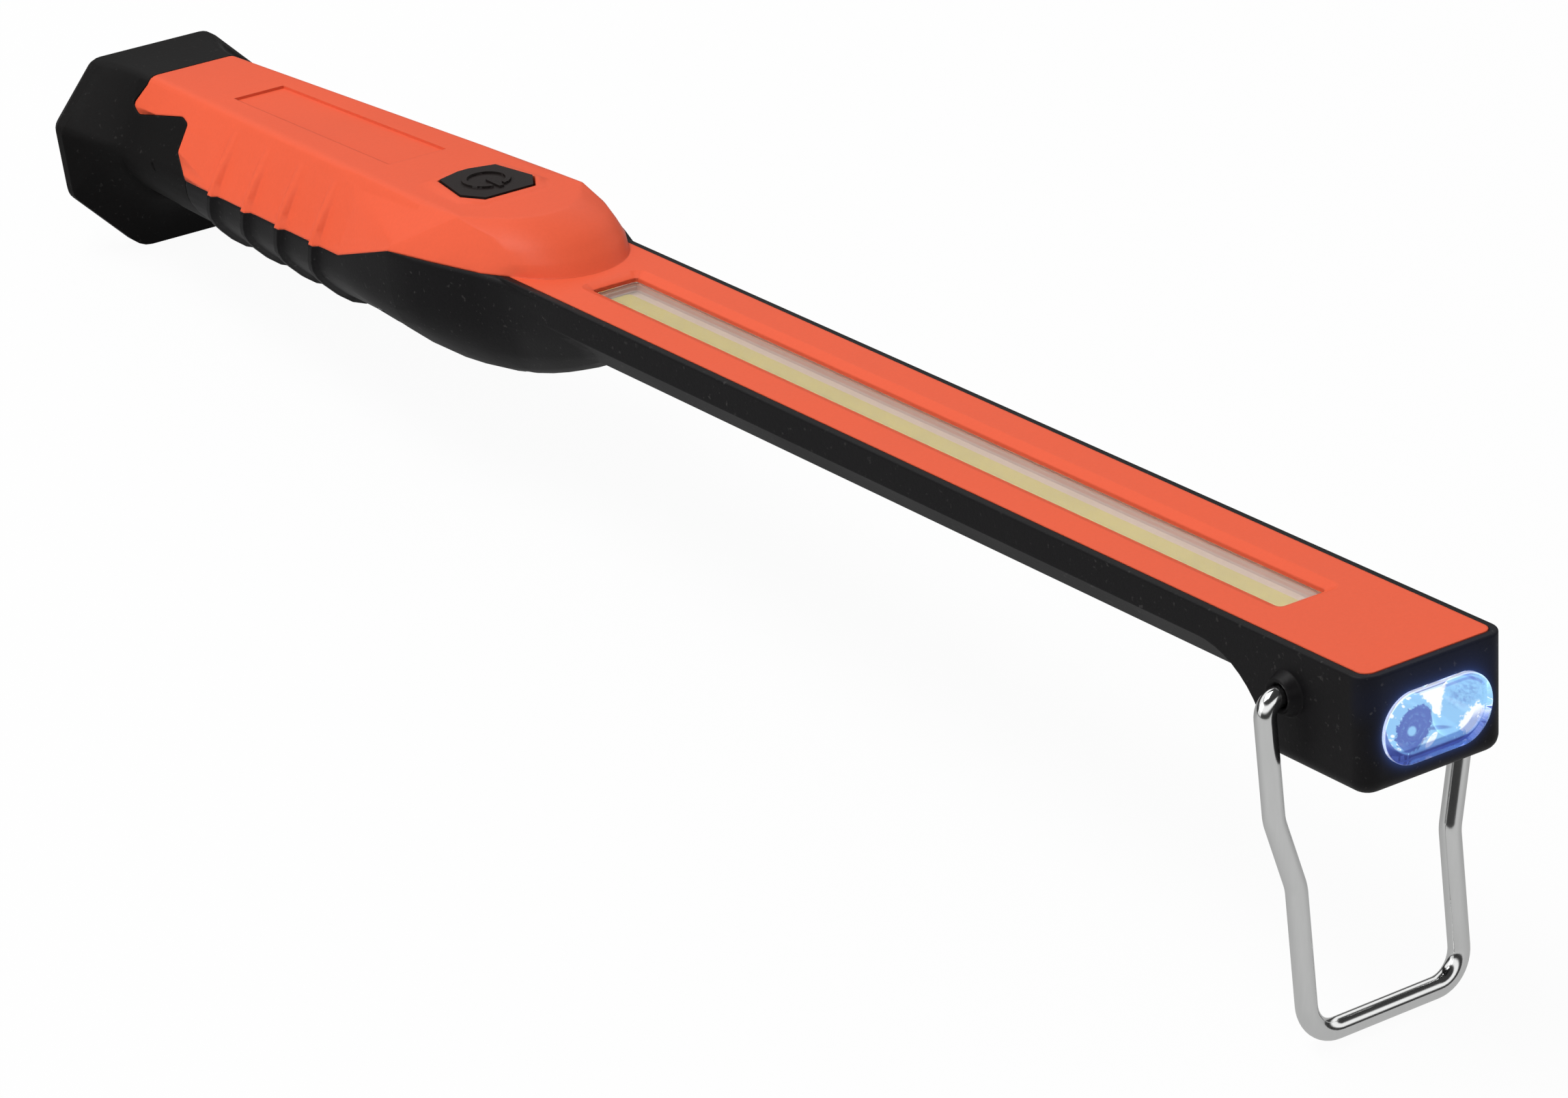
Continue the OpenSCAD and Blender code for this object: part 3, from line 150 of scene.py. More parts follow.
class WorkLightColours(bpy.types.PropertyGroup):
    """Colours of the finishes."""

    orange: colour("Orange", "Moulded orange of the top shell", (0.84, 0.117, 0.049))
    black: colour("Black", "Moulded black of the lower shell", (0.0060, 0.0055, 0.0062))
    cap: colour("Cap", "Moulded black of the end cap", (0.0060, 0.0056, 0.0056))
    button: colour("Button", "Soft black of the power button", (0.016, 0.0112, 0.0104))
    tray: colour("Tray", "Pinkish grey of the tray under the window", (0.42, 0.28, 0.235))
    white_board: colour("White board", "White face of the strip's board", (0.42, 0.31, 0.245))
    phosphor: colour("Phosphor", "Yellow of the lit strip's coating", (0.38, 0.295, 0.05))
    # Painted light and shade of the lit spot: glow, flare and violet are painted light in its cups
    # and lens, glow is also the dies' own light, and depth is violet painted shade in the cups and
    # along the lens's foot, with a dim painted glow in the lens's rim
    glow: colour("Spot glow", "Cold light of the spot", (0.27, 0.54, 0.79))
    flare: colour("Spot flare", "Brightest places in the spot's cups", (0.95, 0.98, 0.98))
    deep: colour("Spot depth", "Violet depth of the cups and the lens wall", (0.075, 0.13, 0.40))
    violet: colour("Spot violet", "Line under the lens's upper edge", (0.30, 0.22, 0.58))
    haze: colour("Spot haze", "Light that the spot throws on the housing", (0.016, 0.036, 0.135))
    green_board: colour("Green board", "Solder mask of the boards", (0.012, 0.085, 0.035))
    wrap: colour("Cell wrap", "Shrink wrap of the battery cell", (0.03, 0.13, 0.33))
    red_lead: colour("Red lead", "Insulation of the positive leads", (0.42, 0.02, 0.015))
    black_lead: colour("Black lead", "Insulation of the spot's leads", (0.015, 0.015, 0.016))
    switch_white: colour("Switch stem", "White of the switch stem", (0.72, 0.71, 0.68))
    chrome: colour("Chrome", "Plating of the hook", (0.84, 0.845, 0.84))
    nickel: colour("Nickel", "Plating of the magnet and the tabs", (0.66, 0.64, 0.60))
    steel: colour("Steel", "Bare steel of screws and keeper", (0.50, 0.50, 0.51))
    aluminium: colour("Aluminium", "Heat spreader", (0.72, 0.73, 0.74))


class WorkLightSizes(bpy.types.PropertyGroup):
    """Sizes of what is formed here."""

    wire: length("Wire", "Diameter of the hook's wire", 0.0036)
    pin_start: length("Pin start", "Half distance between the pins' ends", 0.0076)
    half_top: length("Half width, top", "Half width of the hook at the pivot", 0.01895)
    half_low: length("Half width, low", "Half width of the hook at its bar", 0.01575)
    jog_start: length("Jog start", "Distance from the pivot to the jog", 0.0195)
    jog_length: length("Jog length", "Length over which the legs close in", 0.012)
    hook_length: length("Hook length", "From the pivot to the middle of the bar", 0.0569)
    pivot_bend: length("Pivot bend", "Bend radius between pin and leg", 0.0029)
    jog_bend: length("Jog bend", "Bend radius at both ends of the jog", 0.008)
    bar_bend: length("Bar bend", "Bend radius between leg and bar", 0.0056)
    hook_lean: angle("Hook lean", "Lean of the hanging hook from plumb", 11.0047)
    bend_steps: IntProperty(
        name="Bend steps", description="Rings in each bend", default=12, min=3,
    )
    wire_sides: IntProperty(
        name="Wire sides", description="Corners round the wire", default=32, min=8,
    )
    rib_start: length("Rib start", "From the butt to the first finger rib", 0.0553)
    rib_pitch: length("Rib pitch", "From rib to rib", 0.0131)
    rib_width: length("Rib width", "Width of a rib at its foot", 0.006)
    rib_height: length("Rib height", "Height of a rib on the sides", 0.0011)
    rib_sweep: length("Rib sweep", "How far the ribs run back under the grip", 0.005)
    shell_edge: length("Shell edge", "Easing of the shells' edges", 0.0005)
    shell_smooth: angle(
        "Shell smooth angle", "Shell edges flatter than this are shaded smooth", 21,
    )
    smooth: angle("Smooth angle", "Edges flatter than this are shaded smooth", 32)


class WorkLightStage(bpy.types.PropertyGroup):
    """Camera, floor and light."""

    lens: FloatProperty(
        name="Lens", description="Focal length on a 36 mm frame", subtype="DISTANCE_CAMERA",
        default=133.5,
    )
    place: FloatVectorProperty(
        name="Camera place", description="Where the camera stands", subtype="TRANSLATION",
        unit="LENGTH", size=3, default=(0.7573, -0.5327, 0.4843),
    )
    ahead: FloatVectorProperty(
        name="Camera direction", description="Where the camera looks", subtype="DIRECTION",
        size=3, default=(-0.7179, 0.5222, -0.4605),
    )
    upright: FloatVectorProperty(
        name="Camera upright", description="The picture's upward direction",
        subtype="DIRECTION", size=3, default=(-0.3759, 0.2660, 0.8877),
    )
    key: FloatProperty(
        name="Key light", description="Power of the large key light", subtype="POWER",
        unit="POWER", default=21.0,
    )
    key_place: FloatVectorProperty(
        name="Key place", description="Where the key light hangs", subtype="TRANSLATION",
        unit="LENGTH", size=3, default=(-0.5, -0.5, 1.7),
    )
    fill: FloatProperty(
        name="Fill light", description="Power of the fill light", subtype="POWER",
        unit="POWER", default=3.6,
    )
    fill_place: FloatVectorProperty(
        name="Fill place", description="Where the fill light hangs", subtype="TRANSLATION",
        unit="LENGTH", size=3, default=(-0.3, -1.5, 0.7),
    )
    ambient: share("Ambient", "Level of the all-round light", 0.42, 2.0)
    lean: share("Ambient lean", "How much the all-round light favours the butt's side", 0.12)
    paper: share("Paper", "Share of the floor that shows as plain white", 0.95)
    sheen_floor: share("Near floor in gloss", "Level of the near floor in reflections", 0.55)
    sheen_back: share("Far floor in gloss", "Level of the far floor in reflections", 0.37)
    sheen_wall: share("Walls in gloss", "Level of the far walls in reflections", 0.04)
    sheen_top: share("Ceiling in gloss", "Level of the light bank in reflections", 1.0, 2.0)
    floor: colour("Floor", "Colour of the floor", (0.86, 0.86, 0.86))


def select_only(piece):
    """Makes one object the selected and active one."""
    bpy.ops.object.select_all(action="DESELECT")
    piece.select_set(True)
    bpy.context.view_layer.objects.active = piece


def edit(piece, component="VERT"):
    """Opens a piece in edit mode with everything selected."""
    select_only(piece)
    bpy.ops.object.mode_set(mode="EDIT")
    bpy.ops.mesh.select_mode(type=component)
    bpy.ops.mesh.select_all(action="SELECT")


def close():
    """Leaves edit mode."""
    bpy.ops.object.mode_set(mode="OBJECT")


def apply_modifier(piece, kind, **settings):
    """Adds a modifier with its settings and applies it."""
    modifier = piece.modifiers.new(kind.title(), kind)
    for name, value in settings.items():
        setattr(modifier, name, value)
    select_only(piece)
    bpy.ops.object.modifier_apply(modifier=modifier.name)


def copy_of(node, name):
    """A new piece with the node's merged mesh, flat facets joined."""
    mesh = frame["nodes"][node].data.copy()
    mesh.materials.clear()
    piece = bpy.data.objects.new(name, mesh)
    bpy.context.scene.collection.objects.link(piece)
    edit(piece)
    bpy.ops.mesh.remove_doubles(threshold=MERGE)
    bpy.ops.mesh.dissolve_limited(angle_limit=math.radians(0.4))
    close()
    return piece


def smooth(piece, limit):
    """Smooth shading with kept creases and face-weighted normals."""
    select_only(piece)
    bpy.ops.object.shade_smooth_by_angle(angle=limit)
    apply_modifier(piece, "WEIGHTED_NORMAL", keep_sharp=True, weight=60)


def finish_piece(piece, material, slot, body, *nodes):
    """Gives a piece its material and body, and hides the nodes it stands for; the slot is not
    used.
    """
    piece.data.materials.clear()
    piece.data.materials.append(material)
    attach(piece, body)
    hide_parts(*nodes)


def dress(node, material):
    """Gives a node that stays its material."""
    slots = frame["nodes"][node].data.materials
    slots.clear()
    slots.append(material)


def add(tree, kind, values=None, **settings):
    """Adds a shader node with its settings and socket values."""
    node = tree.nodes.new(kind)
    for name, value in settings.items():
        setattr(node, name, value)
    for name, value in (values or {}).items():
        node.inputs[name].default_value = value
    return node


def join(tree, start, output, end, socket):
    """Links one node's output to another's input."""
    tree.links.new(start.outputs[output], end.inputs[socket])


def feed(tree, source, socket):
    """Links a (node, output) pair to a socket."""
    tree.links.new(source[0].outputs[source[1]], socket)


def math_node(tree, operation, first, second):
    """A Math node whose operands are numbers or (node, output) pairs."""
    node = add(tree, "ShaderNodeMath", operation=operation)
    for index, operand in enumerate((first, second)):
        if isinstance(operand, tuple):
            feed(tree, operand, node.inputs[index])
        else:
            node.inputs[index].default_value = operand
    return node


def calc(tree, operation, first, second=0.0):
    """The (node, output) pair of a Math node."""
    return math_node(tree, operation, first, second), "Value"


def ease(tree, source, start, end):
    """A smooth step from 0 to 1 between two values of a (node, output) pair."""
    node = add(
        tree, "ShaderNodeMapRange", {"From Min": start, "From Max": end}, clamp=True,
        interpolation_type="SMOOTHSTEP",
    )
    feed(tree, source, node.inputs["Value"])
    return node, "Result"


def span(tree, across, along):
    """The length of a vector given by two (node, output) pairs."""
    both = calc(
        tree, "ADD", calc(tree, "MULTIPLY", across, across), calc(tree, "MULTIPLY", along, along),
    )
    return calc(tree, "SQRT", both)


def weigh(tree, first, share_first, second, share_second, more=0.0):
    """A weighted sum of two (node, output) pairs and a number."""
    left = calc(tree, "MULTIPLY", first, share_first)
    right = calc(tree, "MULTIPLY", second, share_second)
    return calc(tree, "ADD", calc(tree, "ADD", left, right), more)


def scaled(tree, source, factor, more):
    """A (node, output) pair times a factor, plus a number."""
    return calc(tree, "ADD", calc(tree, "MULTIPLY", source, factor), more)


def lay_over(tree, mask, under, over):
    """Lays one colour over another by a mask; colours are values or (node, output) pairs."""
    node = add(tree, "ShaderNodeMix", data_type="RGBA")
    feed(tree, mask, node.inputs[0])
    for index, tone in ((6, under), (7, over)):
        if isinstance(tone[0], float):
            node.inputs[index].default_value = (*tone, 1.0)
        else:
            feed(tree, tone, node.inputs[index])
    return node, 2


def new_group(name, inputs, outputs):
    """A shader node group with named float sockets."""
    group = bpy.data.node_groups.new(name, "ShaderNodeTree")
    for label, default in inputs:
        socket = group.interface.new_socket(label, in_out="INPUT", socket_type="NodeSocketFloat")
        socket.default_value = default
    for label in outputs:
        group.interface.new_socket(label, in_out="OUTPUT", socket_type="NodeSocketFloat")
    return group, add(group, "NodeGroupInput"), add(group, "NodeGroupOutput")


def moulded_grain():
    """Fine spark-eroded grain with broad tone drift."""
    name = "Moulded Grain"
    if name in bpy.data.node_groups:
        return bpy.data.node_groups[name]
    group, given, result = new_group(
        name, (("Grain Scale", 1500.0), ("Tone", 0.08)), ("Shade", "Gloss", "Height"),
    )
    coords = add(group, "ShaderNodeTexCoord")
    fine = add(group, "ShaderNodeTexNoise", {"Detail": 3.0, "Roughness": 0.55})
    join(group, coords, "Object", fine, "Vector")
    join(group, given, "Grain Scale", fine, "Scale")
    broad = add(group, "ShaderNodeTexNoise", {"Scale": 38.0, "Detail": 2.0})
    join(group, coords, "Object", broad, "Vector")
    drift = math_node(group, "SUBTRACT", (broad, "Fac"), 0.5)
    speck = math_node(group, "SUBTRACT", (fine, "Fac"), 0.5)
    both = math_node(group, "ADD", (drift, "Value"), (speck, "Value"))
    toned = math_node(group, "MULTIPLY", (both, "Value"), (given, "Tone"))
    shade = math_node(group, "ADD", (toned, "Value"), 1.0)
    join(group, shade, "Value", result, "Shade")
    gloss = math_node(group, "MULTIPLY", (drift, "Value"), 0.18)
    join(group, gloss, "Value", result, "Gloss")
    join(group, fine, "Fac", result, "Height")
    return group


def surface_dust():
    """Sparse pale specks, as handled plastic picks up."""
    name = "Surface Dust"
    if name in bpy.data.node_groups:
        return bpy.data.node_groups[name]
    group, given, result = new_group(name, (("Amount", 0.1),), ("Mask",))
    coords = add(group, "ShaderNodeTexCoord")
    specks = add(group, "ShaderNodeTexNoise", {"Scale": 950.0, "Detail": 2.0})
    join(group, coords, "Object", specks, "Vector")
    patches = add(group, "ShaderNodeTexNoise", {"Scale": 24.0, "Detail": 1.0})
    join(group, coords, "Object", patches, "Vector")
    sharp = add(
        group, "ShaderNodeMapRange", {"From Min": 0.66, "From Max": 0.74}, clamp=True,
    )
    join(group, specks, "Fac", sharp, "Value")
    here = math_node(group, "MULTIPLY", (sharp, "Result"), (patches, "Fac"))
    mask = math_node(group, "MULTIPLY", (here, "Value"), (given, "Amount"))
    join(group, mask, "Value", result, "Mask")
    return group


def drawn_streaks():
    """Fine lines and cloudy patches of drawn, plated or rolled metal."""
    name = "Drawn Streaks"
    if name in bpy.data.node_groups:
        return bpy.data.node_groups[name]
    group, given, result = new_group(
        name, (("Scale", 900.0), ("Stretch", 0.06), ("Depth", 0.1)), ("Shade", "Gloss", "Height"),
    )
    coords = add(group, "ShaderNodeTexCoord")
    squeeze = add(group, "ShaderNodeCombineXYZ", {"X": 1.0, "Y": 1.0})
    join(group, given, "Stretch", squeeze, "Z")
    stretched = add(group, "ShaderNodeVectorMath", operation="MULTIPLY")
    join(group, coords, "Object", stretched, 0)
    join(group, squeeze, "Vector", stretched, 1)
    lines = add(group, "ShaderNodeTexNoise", {"Detail": 3.0, "Roughness": 0.6})
    join(group, stretched, "Vector", lines, "Vector")
    join(group, given, "Scale", lines, "Scale")
    cloud = add(group, "ShaderNodeTexNoise", {"Scale": 110.0, "Detail": 2.0})
    join(group, coords, "Object", cloud, "Vector")
    swing = math_node(group, "SUBTRACT", (lines, "Fac"), 0.5)
    depth = math_node(group, "MULTIPLY", (swing, "Value"), (given, "Depth"))
    shade = math_node(group, "ADD", (depth, "Value"), 1.0)
    join(group, shade, "Value", result, "Shade")
    haze = math_node(group, "SUBTRACT", (cloud, "Fac"), 0.5)
    gloss = math_node(group, "MULTIPLY", (haze, "Value"), (given, "Depth"))
    join(group, gloss, "Value", result, "Gloss")
    join(group, lines, "Fac", result, "Height")
    return group


def spot_field():
    """Where a point lies about the spot, in millimetres: from its outline and along its axes."""
    name = "Spot Field"
    if name in bpy.data.node_groups:
        return bpy.data.node_groups[name]
    group, _, result = new_group(name, (), ("Edge", "Front", "Side", "Rise"))
    low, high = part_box("spot_lens")
    coords = add(group, "ShaderNodeTexCoord")
    shifted = add(group, "ShaderNodeVectorMath", operation="SUBTRACT")
    shifted.inputs[1].default_value = (low + high) / 2
    join(group, coords, "Object", shifted, 0)
    local = []
    for axis in (AHEAD, Vector((0.0, 1.0, 0.0)), UP):
        along = add(group, "ShaderNodeVectorMath", operation="DOT_PRODUCT")
        along.inputs[1].default_value = axis * 1000
        join(group, shifted, "Vector", along, 0)
        local.append(along)
    front, side, rise = local
    across = math_node(group, "ABSOLUTE", (side, "Value"), 0.0)
    height = math_node(group, "MULTIPLY", (rise, "Value"), (rise, "Value"))
    past = math_node(group, "SUBTRACT", (across, "Value"), SPOT_HALF)
    over = math_node(group, "MAXIMUM", (past, "Value"), 0.0)
    square = math_node(group, "MULTIPLY", (over, "Value"), (over, "Value"))
    both = math_node(group, "ADD", (square, "Value"), (height, "Value"))
    root = math_node(group, "SQRT", (both, "Value"), 0.0)
    edge = math_node(group, "SUBTRACT", (root, "Value"), SPOT_END)
    join(group, edge, "Value", result, "Edge")
    join(group, front, "Value", result, "Front")
    join(group, side, "Value", result, "Side")
    join(group, rise, "Value", result, "Rise")
    return group


def new_material(name):
    """A material with its node tree and Principled shader."""
    material = bpy.data.materials.new(name)
    material.use_nodes = True
    tree = material.node_tree
    shader = tree.nodes["Principled BSDF"]
    return material, tree, shader


def shaded(tree, tone, source, output):
    """A colour brightened and darkened by a group's shade."""
    node = add(tree, "ShaderNodeHueSaturation", {"Color": (*tone, 1.0)})
    join(tree, source, output, node, "Value")
    return node


def moulded(name, tone, roughness, grain=1500.0, drift=0.08, relief=0.00004, specular=0.5,
            dust=0.0, edge=0.0):
    """A moulded plastic with grain, tone drift, a trace of dust and eased edges."""
    material, tree, shader = new_material(name)
    skin = add(tree, "ShaderNodeGroup", node_tree=moulded_grain())
    skin.inputs["Grain Scale"].default_value = grain
    skin.inputs["Tone"].default_value = drift
    base = shaded(tree, tone, skin, "Shade")
    if dust:
        specks = add(tree, "ShaderNodeGroup", node_tree=surface_dust())
        specks.inputs["Amount"].default_value = dust
        dusty = lay_over(tree, (specks, "Mask"), (base, "Color"), DUST)
        feed(tree, dusty, shader.inputs["Base Color"])
    else:
        join(tree, base, "Color", shader, "Base Color")
    rough = math_node(tree, "ADD", (skin, "Gloss"), roughness)
    join(tree, rough, "Value", shader, "Roughness")
    bump = add(tree, "ShaderNodeBump", {"Strength": 0.6, "Distance": relief})
    join(tree, skin, "Height", bump, "Height")
    if edge:
        eased = add(tree, "ShaderNodeBevel", {"Radius": edge}, samples=6)
        join(tree, eased, "Normal", bump, "Normal")
    join(tree, bump, "Normal", shader, "Normal")
    shader.inputs["Specular IOR Level"].default_value = specular
    return material, tree, shader


def metal(name, tone, roughness, scale=900.0, stretch=0.06, depth=0.12, relief=0.00001):
    """A plated or bare metal with fine streaks."""
    material, tree, shader = new_material(name)
    skin = add(tree, "ShaderNodeGroup", node_tree=drawn_streaks())
    skin.inputs["Scale"].default_value = scale
    skin.inputs["Stretch"].default_value = stretch
    skin.inputs["Depth"].default_value = depth
    base = shaded(tree, tone, skin, "Shade")
    join(tree, base, "Color", shader, "Base Color")
    rough = math_node(tree, "ADD", (skin, "Gloss"), roughness)
    join(tree, rough, "Value", shader, "Roughness")
    bump = add(tree, "ShaderNodeBump", {"Strength": 0.4, "Distance": relief})
    join(tree, skin, "Height", bump, "Height")
    join(tree, bump, "Normal", shader, "Normal")
    shader.inputs["Metallic"].default_value = 1.0
    return material


def clear(name, tint, roughness, gloss):
    """Clear moulded plastic that lets the light in."""
    material, tree, shader = new_material(name)
    skin = add(tree, "ShaderNodeGroup", node_tree=moulded_grain())
    skin.inputs["Grain Scale"].default_value = 260.0
    skin.inputs["Tone"].default_value = 0.02
    base = shaded(tree, tint, skin, "Shade")
    join(tree, base, "Color", shader, "Base Color")
    bump = add(tree, "ShaderNodeBump", {"Strength": 0.08, "Distance": 0.00002})
    join(tree, skin, "Height", bump, "Height")
    join(tree, bump, "Normal", shader, "Normal")
    shader.inputs["Roughness"].default_value = roughness
    shader.inputs["Specular IOR Level"].default_value = gloss
    shader.inputs["IOR"].default_value = 1.49
    shader.inputs["Transmission Weight"].default_value = 1.0
    path = add(tree, "ShaderNodeLightPath")
    passing = add(tree, "ShaderNodeBsdfTransparent", {"Color": (*tint, 1.0)})
    blend = add(tree, "ShaderNodeMixShader")
    join(tree, path, "Is Shadow Ray", blend, 0)
    join(tree, shader, "BSDF", blend, 1)
    join(tree, passing, "BSDF", blend, 2)
    join(tree, blend, "Shader", tree.nodes["Material Output"], "Surface")
    return material, tree, shader


def stepped(points, at):
    """The value at a place on a line through points."""
    for (start, low), (end, high) in zip(points, points[1:]):
        if at <= end:
            return low + (high - low) * (at - start) / (end - start)
    return points[-1][1]


def rib_place(sizes, along, drop):
    """How far a point lies across its rib, 0 to 1, or None between the ribs."""
    back = sizes.rib_sweep * min(max(drop / GRIP_DEPTH, 0.0), 1.0)
    for index in range(RIB_COUNT):
        at = (along + back - sizes.rib_start - index * sizes.rib_pitch) / sizes.rib_width
        if 0.0 < at < 1.0:
            return at
    return None


def crown_ribs(piece, sizes):
    """Carries the finger ribs further up the shell's sides."""
    tilted = (UP - PANEL_TILT * AHEAD).normalized()
    first = sizes.rib_start - 0.002
    last = sizes.rib_start + RIB_COUNT * sizes.rib_pitch
    for height, lift in RIB_CROWN:
        middle = BUTT + AHEAD * PANEL_MIDDLE + UP * height
        select_only(piece)
        for face in piece.data.polygons:
            along = (face.center - BUTT).dot(AHEAD)
            outward = face.normal.y * math.copysign(1.0, face.center.y)
            on_side = abs(face.center.y) > PANEL_INSIDE and outward > 0.3
            face.select = first < along < last and on_side
        bpy.ops.object.mode_set(mode="EDIT")
        bpy.ops.mesh.select_mode(type="FACE")
        bpy.ops.mesh.bisect(plane_co=middle, plane_no=tilted)
        close()
        for vertex in piece.data.vertices:
            away = vertex.co - BUTT
            place = rib_place(sizes, away.dot(AHEAD), 0.0)
            if place is None or abs((vertex.co - middle).dot(tilted)) > MERGE:
                continue
            if abs(away.y) > PANEL_EDGE:
                rise = stepped(RIB_SHAPE, place) * sizes.rib_height * lift
                vertex.co.y += math.copysign(rise, away.y)


def front_ribs(piece, sizes):
    """Steepens the front of the finger ribs on the shell's outer skin."""
    outer = set()
    for face in piece.data.polygons:
        away = face.center - BUTT + UP * CORE_DROP
        if face.normal.dot(away - AHEAD * away.dot(AHEAD)) > 0.0:
            outer.update(face.vertices)
    for index in outer:
        vertex = piece.data.vertices[index]
        away = vertex.co - BUTT
        height = away.dot(UP)
        place = rib_place(sizes, away.dot(AHEAD), PARTING - height)
        if place is not None and height < PANEL_CREASE:
            vertex.co += AHEAD * (stepped(RIB_FRONT, place) - place) * sizes.rib_width


class WORKLIGHT_OT_housing(bpy.types.Operator):
    """Ribs the grip and softens the orange top, the black lower shell and the end cap."""

    bl_idname = "work_light.housing"
    bl_label = "Housing"

    def execute(self, context):
        tones = context.scene.work_light_colours
        sizes = context.scene.work_light_sizes
        orange = moulded(
            "orange_moulded", tones.orange, 0.42, drift=0.07, specular=0.16, edge=sizes.shell_edge,
        )[0]
        black, tree, shader = moulded(
            "black_moulded", tones.black, 0.46, drift=0.25, specular=0.15, dust=0.12,
            edge=sizes.shell_edge,
        )
        self.spot_haze(tree, shader, tones.haze)
        cap = moulded(
            "cap_moulded", tones.cap, 0.5, drift=0.25, specular=0.09, dust=0.08,
            edge=sizes.shell_edge,
        )[0]
        for node, name, material, slot in (
            ("top_shell", "orange_top", orange, "orange_housing"),
            ("lower_shell", "black_body", black, "black_housing"),
            ("end_cap", "butt_cap", cap, "black_cap"),
        ):
            piece = copy_of(node, name)
            if node == "top_shell":
                crown_ribs(piece, sizes)
            if node != "end_cap":
                front_ribs(piece, sizes)
            smooth(piece, sizes.shell_smooth)
            finish_piece(piece, material, slot, "housing", node)
        return {"FINISHED"}

    def spot_haze(self, tree, shader, tone):
        """Cold light on the housing round the spot, fading over a few millimetres."""
        field = add(tree, "ShaderNodeGroup", node_tree=spot_field())
        near = calc(tree, "EXPONENT", calc(tree, "MULTIPLY", (field, "Edge"), -1.6))
        far = calc(tree, "EXPONENT", calc(tree, "MULTIPLY", (field, "Edge"), -0.30))
        above = ease(tree, (field, "Rise"), 1.0, 8.0)
        glow = weigh(tree, near, 0.85, calc(tree, "MULTIPLY", far, above), 0.3)
        front = ease(tree, (field, "Front"), -2.6, -0.6)
        lit, _ = calc(tree, "MULTIPLY", glow, front)
        light = shaded(tree, tone, lit, "Value")
        join(tree, light, "Color", shader, "Emission Color")
        shader.inputs["Emission Strength"].default_value = 1.0


class WORKLIGHT_OT_hook(bpy.types.Operator):
    """Forms the chromed wire hook from one round section."""

    bl_idname = "work_light.hook"
    bl_label = "Hook"

    def execute(self, context):
        sizes = context.scene.work_light_sizes
        pivot = Vector(HOOK_JOINT["pos_m"])
        side = Vector((0.0, 1.0, 0.0))
        down = Vector((math.sin(sizes.hook_lean), 0.0, -math.cos(sizes.hook_lean)))
        half = (
            (sizes.half_top, 0.0, sizes.pivot_bend),
            (sizes.half_top, sizes.jog_start, sizes.jog_bend),
            (sizes.half_low, sizes.jog_start + sizes.jog_length, sizes.jog_bend),
            (sizes.half_low, sizes.hook_length, sizes.bar_bend),
        )
        corners = list(half) + [(-y, z, r) for y, z, r in reversed(half)]
        spots = [(pivot + side * y + down * z, r) for y, z, r in corners]
        first = pivot + side * sizes.pin_start
        last = pivot - side * sizes.pin_start
        bpy.ops.object.select_all(action="DESELECT")
        bpy.ops.mesh.primitive_circle_add(
            vertices=sizes.wire_sides, radius=sizes.wire / 2, fill_type="NOTHING",
            location=first, rotation=(math.pi / 2, 0.0, 0.0),
        )
        piece = bpy.context.object
        piece.name = "wire_hook"
        bpy.ops.object.transform_apply(location=True, rotation=True, scale=True)
        edit(piece)
        at = first
        for index, (corner, radius) in enumerate(spots):
            after = spots[index + 1][0] if index + 1 < len(spots) else last
            way = (corner - at).normalized()
            turned = (after - corner).normalized()
            bend = way.angle(turned)
            back = radius * math.tan(bend / 2)
            run = corner - way * back
            bpy.ops.mesh.extrude_region_move(
                TRANSFORM_OT_translate={"value": run - at},
            )
            axis = way.cross(turned).normalized()
            centre = run + axis.cross(way) * radius
            bpy.ops.mesh.spin(
                steps=sizes.bend_steps, angle=-bend, center=centre, axis=axis,
            )
            at = corner + turned * back
            piece.update_from_editmode()
            ring = [v.co for v in piece.data.vertices if v.select]
            middle = sum(ring, Vector()) / max(len(ring), 1)
            if len(ring) != sizes.wire_sides or (middle - at).length > 1e-5:
                raise RuntimeError(f"the hook's bend {index} went astray: {middle} for {at}")
        bpy.ops.mesh.extrude_region_move(TRANSFORM_OT_translate={"value": last - at})
        bpy.ops.mesh.select_all(action="SELECT")
        bpy.ops.mesh.remove_doubles(threshold=1e-6)
        bpy.ops.mesh.select_all(action="SELECT")
        bpy.ops.mesh.fill_holes(sides=0)
        bpy.ops.mesh.select_all(action="SELECT")
        bpy.ops.mesh.normals_make_consistent(inside=False)
        close()
        smooth(piece, sizes.smooth)
        plating = metal(
            "hook_plating", context.scene.work_light_colours.chrome, 0.13, depth=0.10,
        )
        finish_piece(piece, plating, "hook_chrome", "hook", "hook")
        return {"FINISHED"}


class WORKLIGHT_OT_button(bpy.types.Operator):
    """Softens the rubber power button and dresses its switch."""

    bl_idname = "work_light.button"
    bl_label = "Button"

    def execute(self, context):
        tones = context.scene.work_light_colours
        sizes = context.scene.work_light_sizes
        rubber = moulded(
            "button_rubber", tones.button, 0.6, grain=2200.0, drift=0.2, specular=0.2,
        )[0]
        piece = copy_of("power_button", "rubber_button")
        smooth(piece, sizes.smooth)
        finish_piece(piece, rubber, "button_rubber", "button", "power_button")
        dress("switch_stem", moulded("stem_white", tones.switch_white, 0.4)[0])
        dress("tact_switch", moulded("switch_black", tones.black_lead, 0.45)[0])
        return {"FINISHED"}


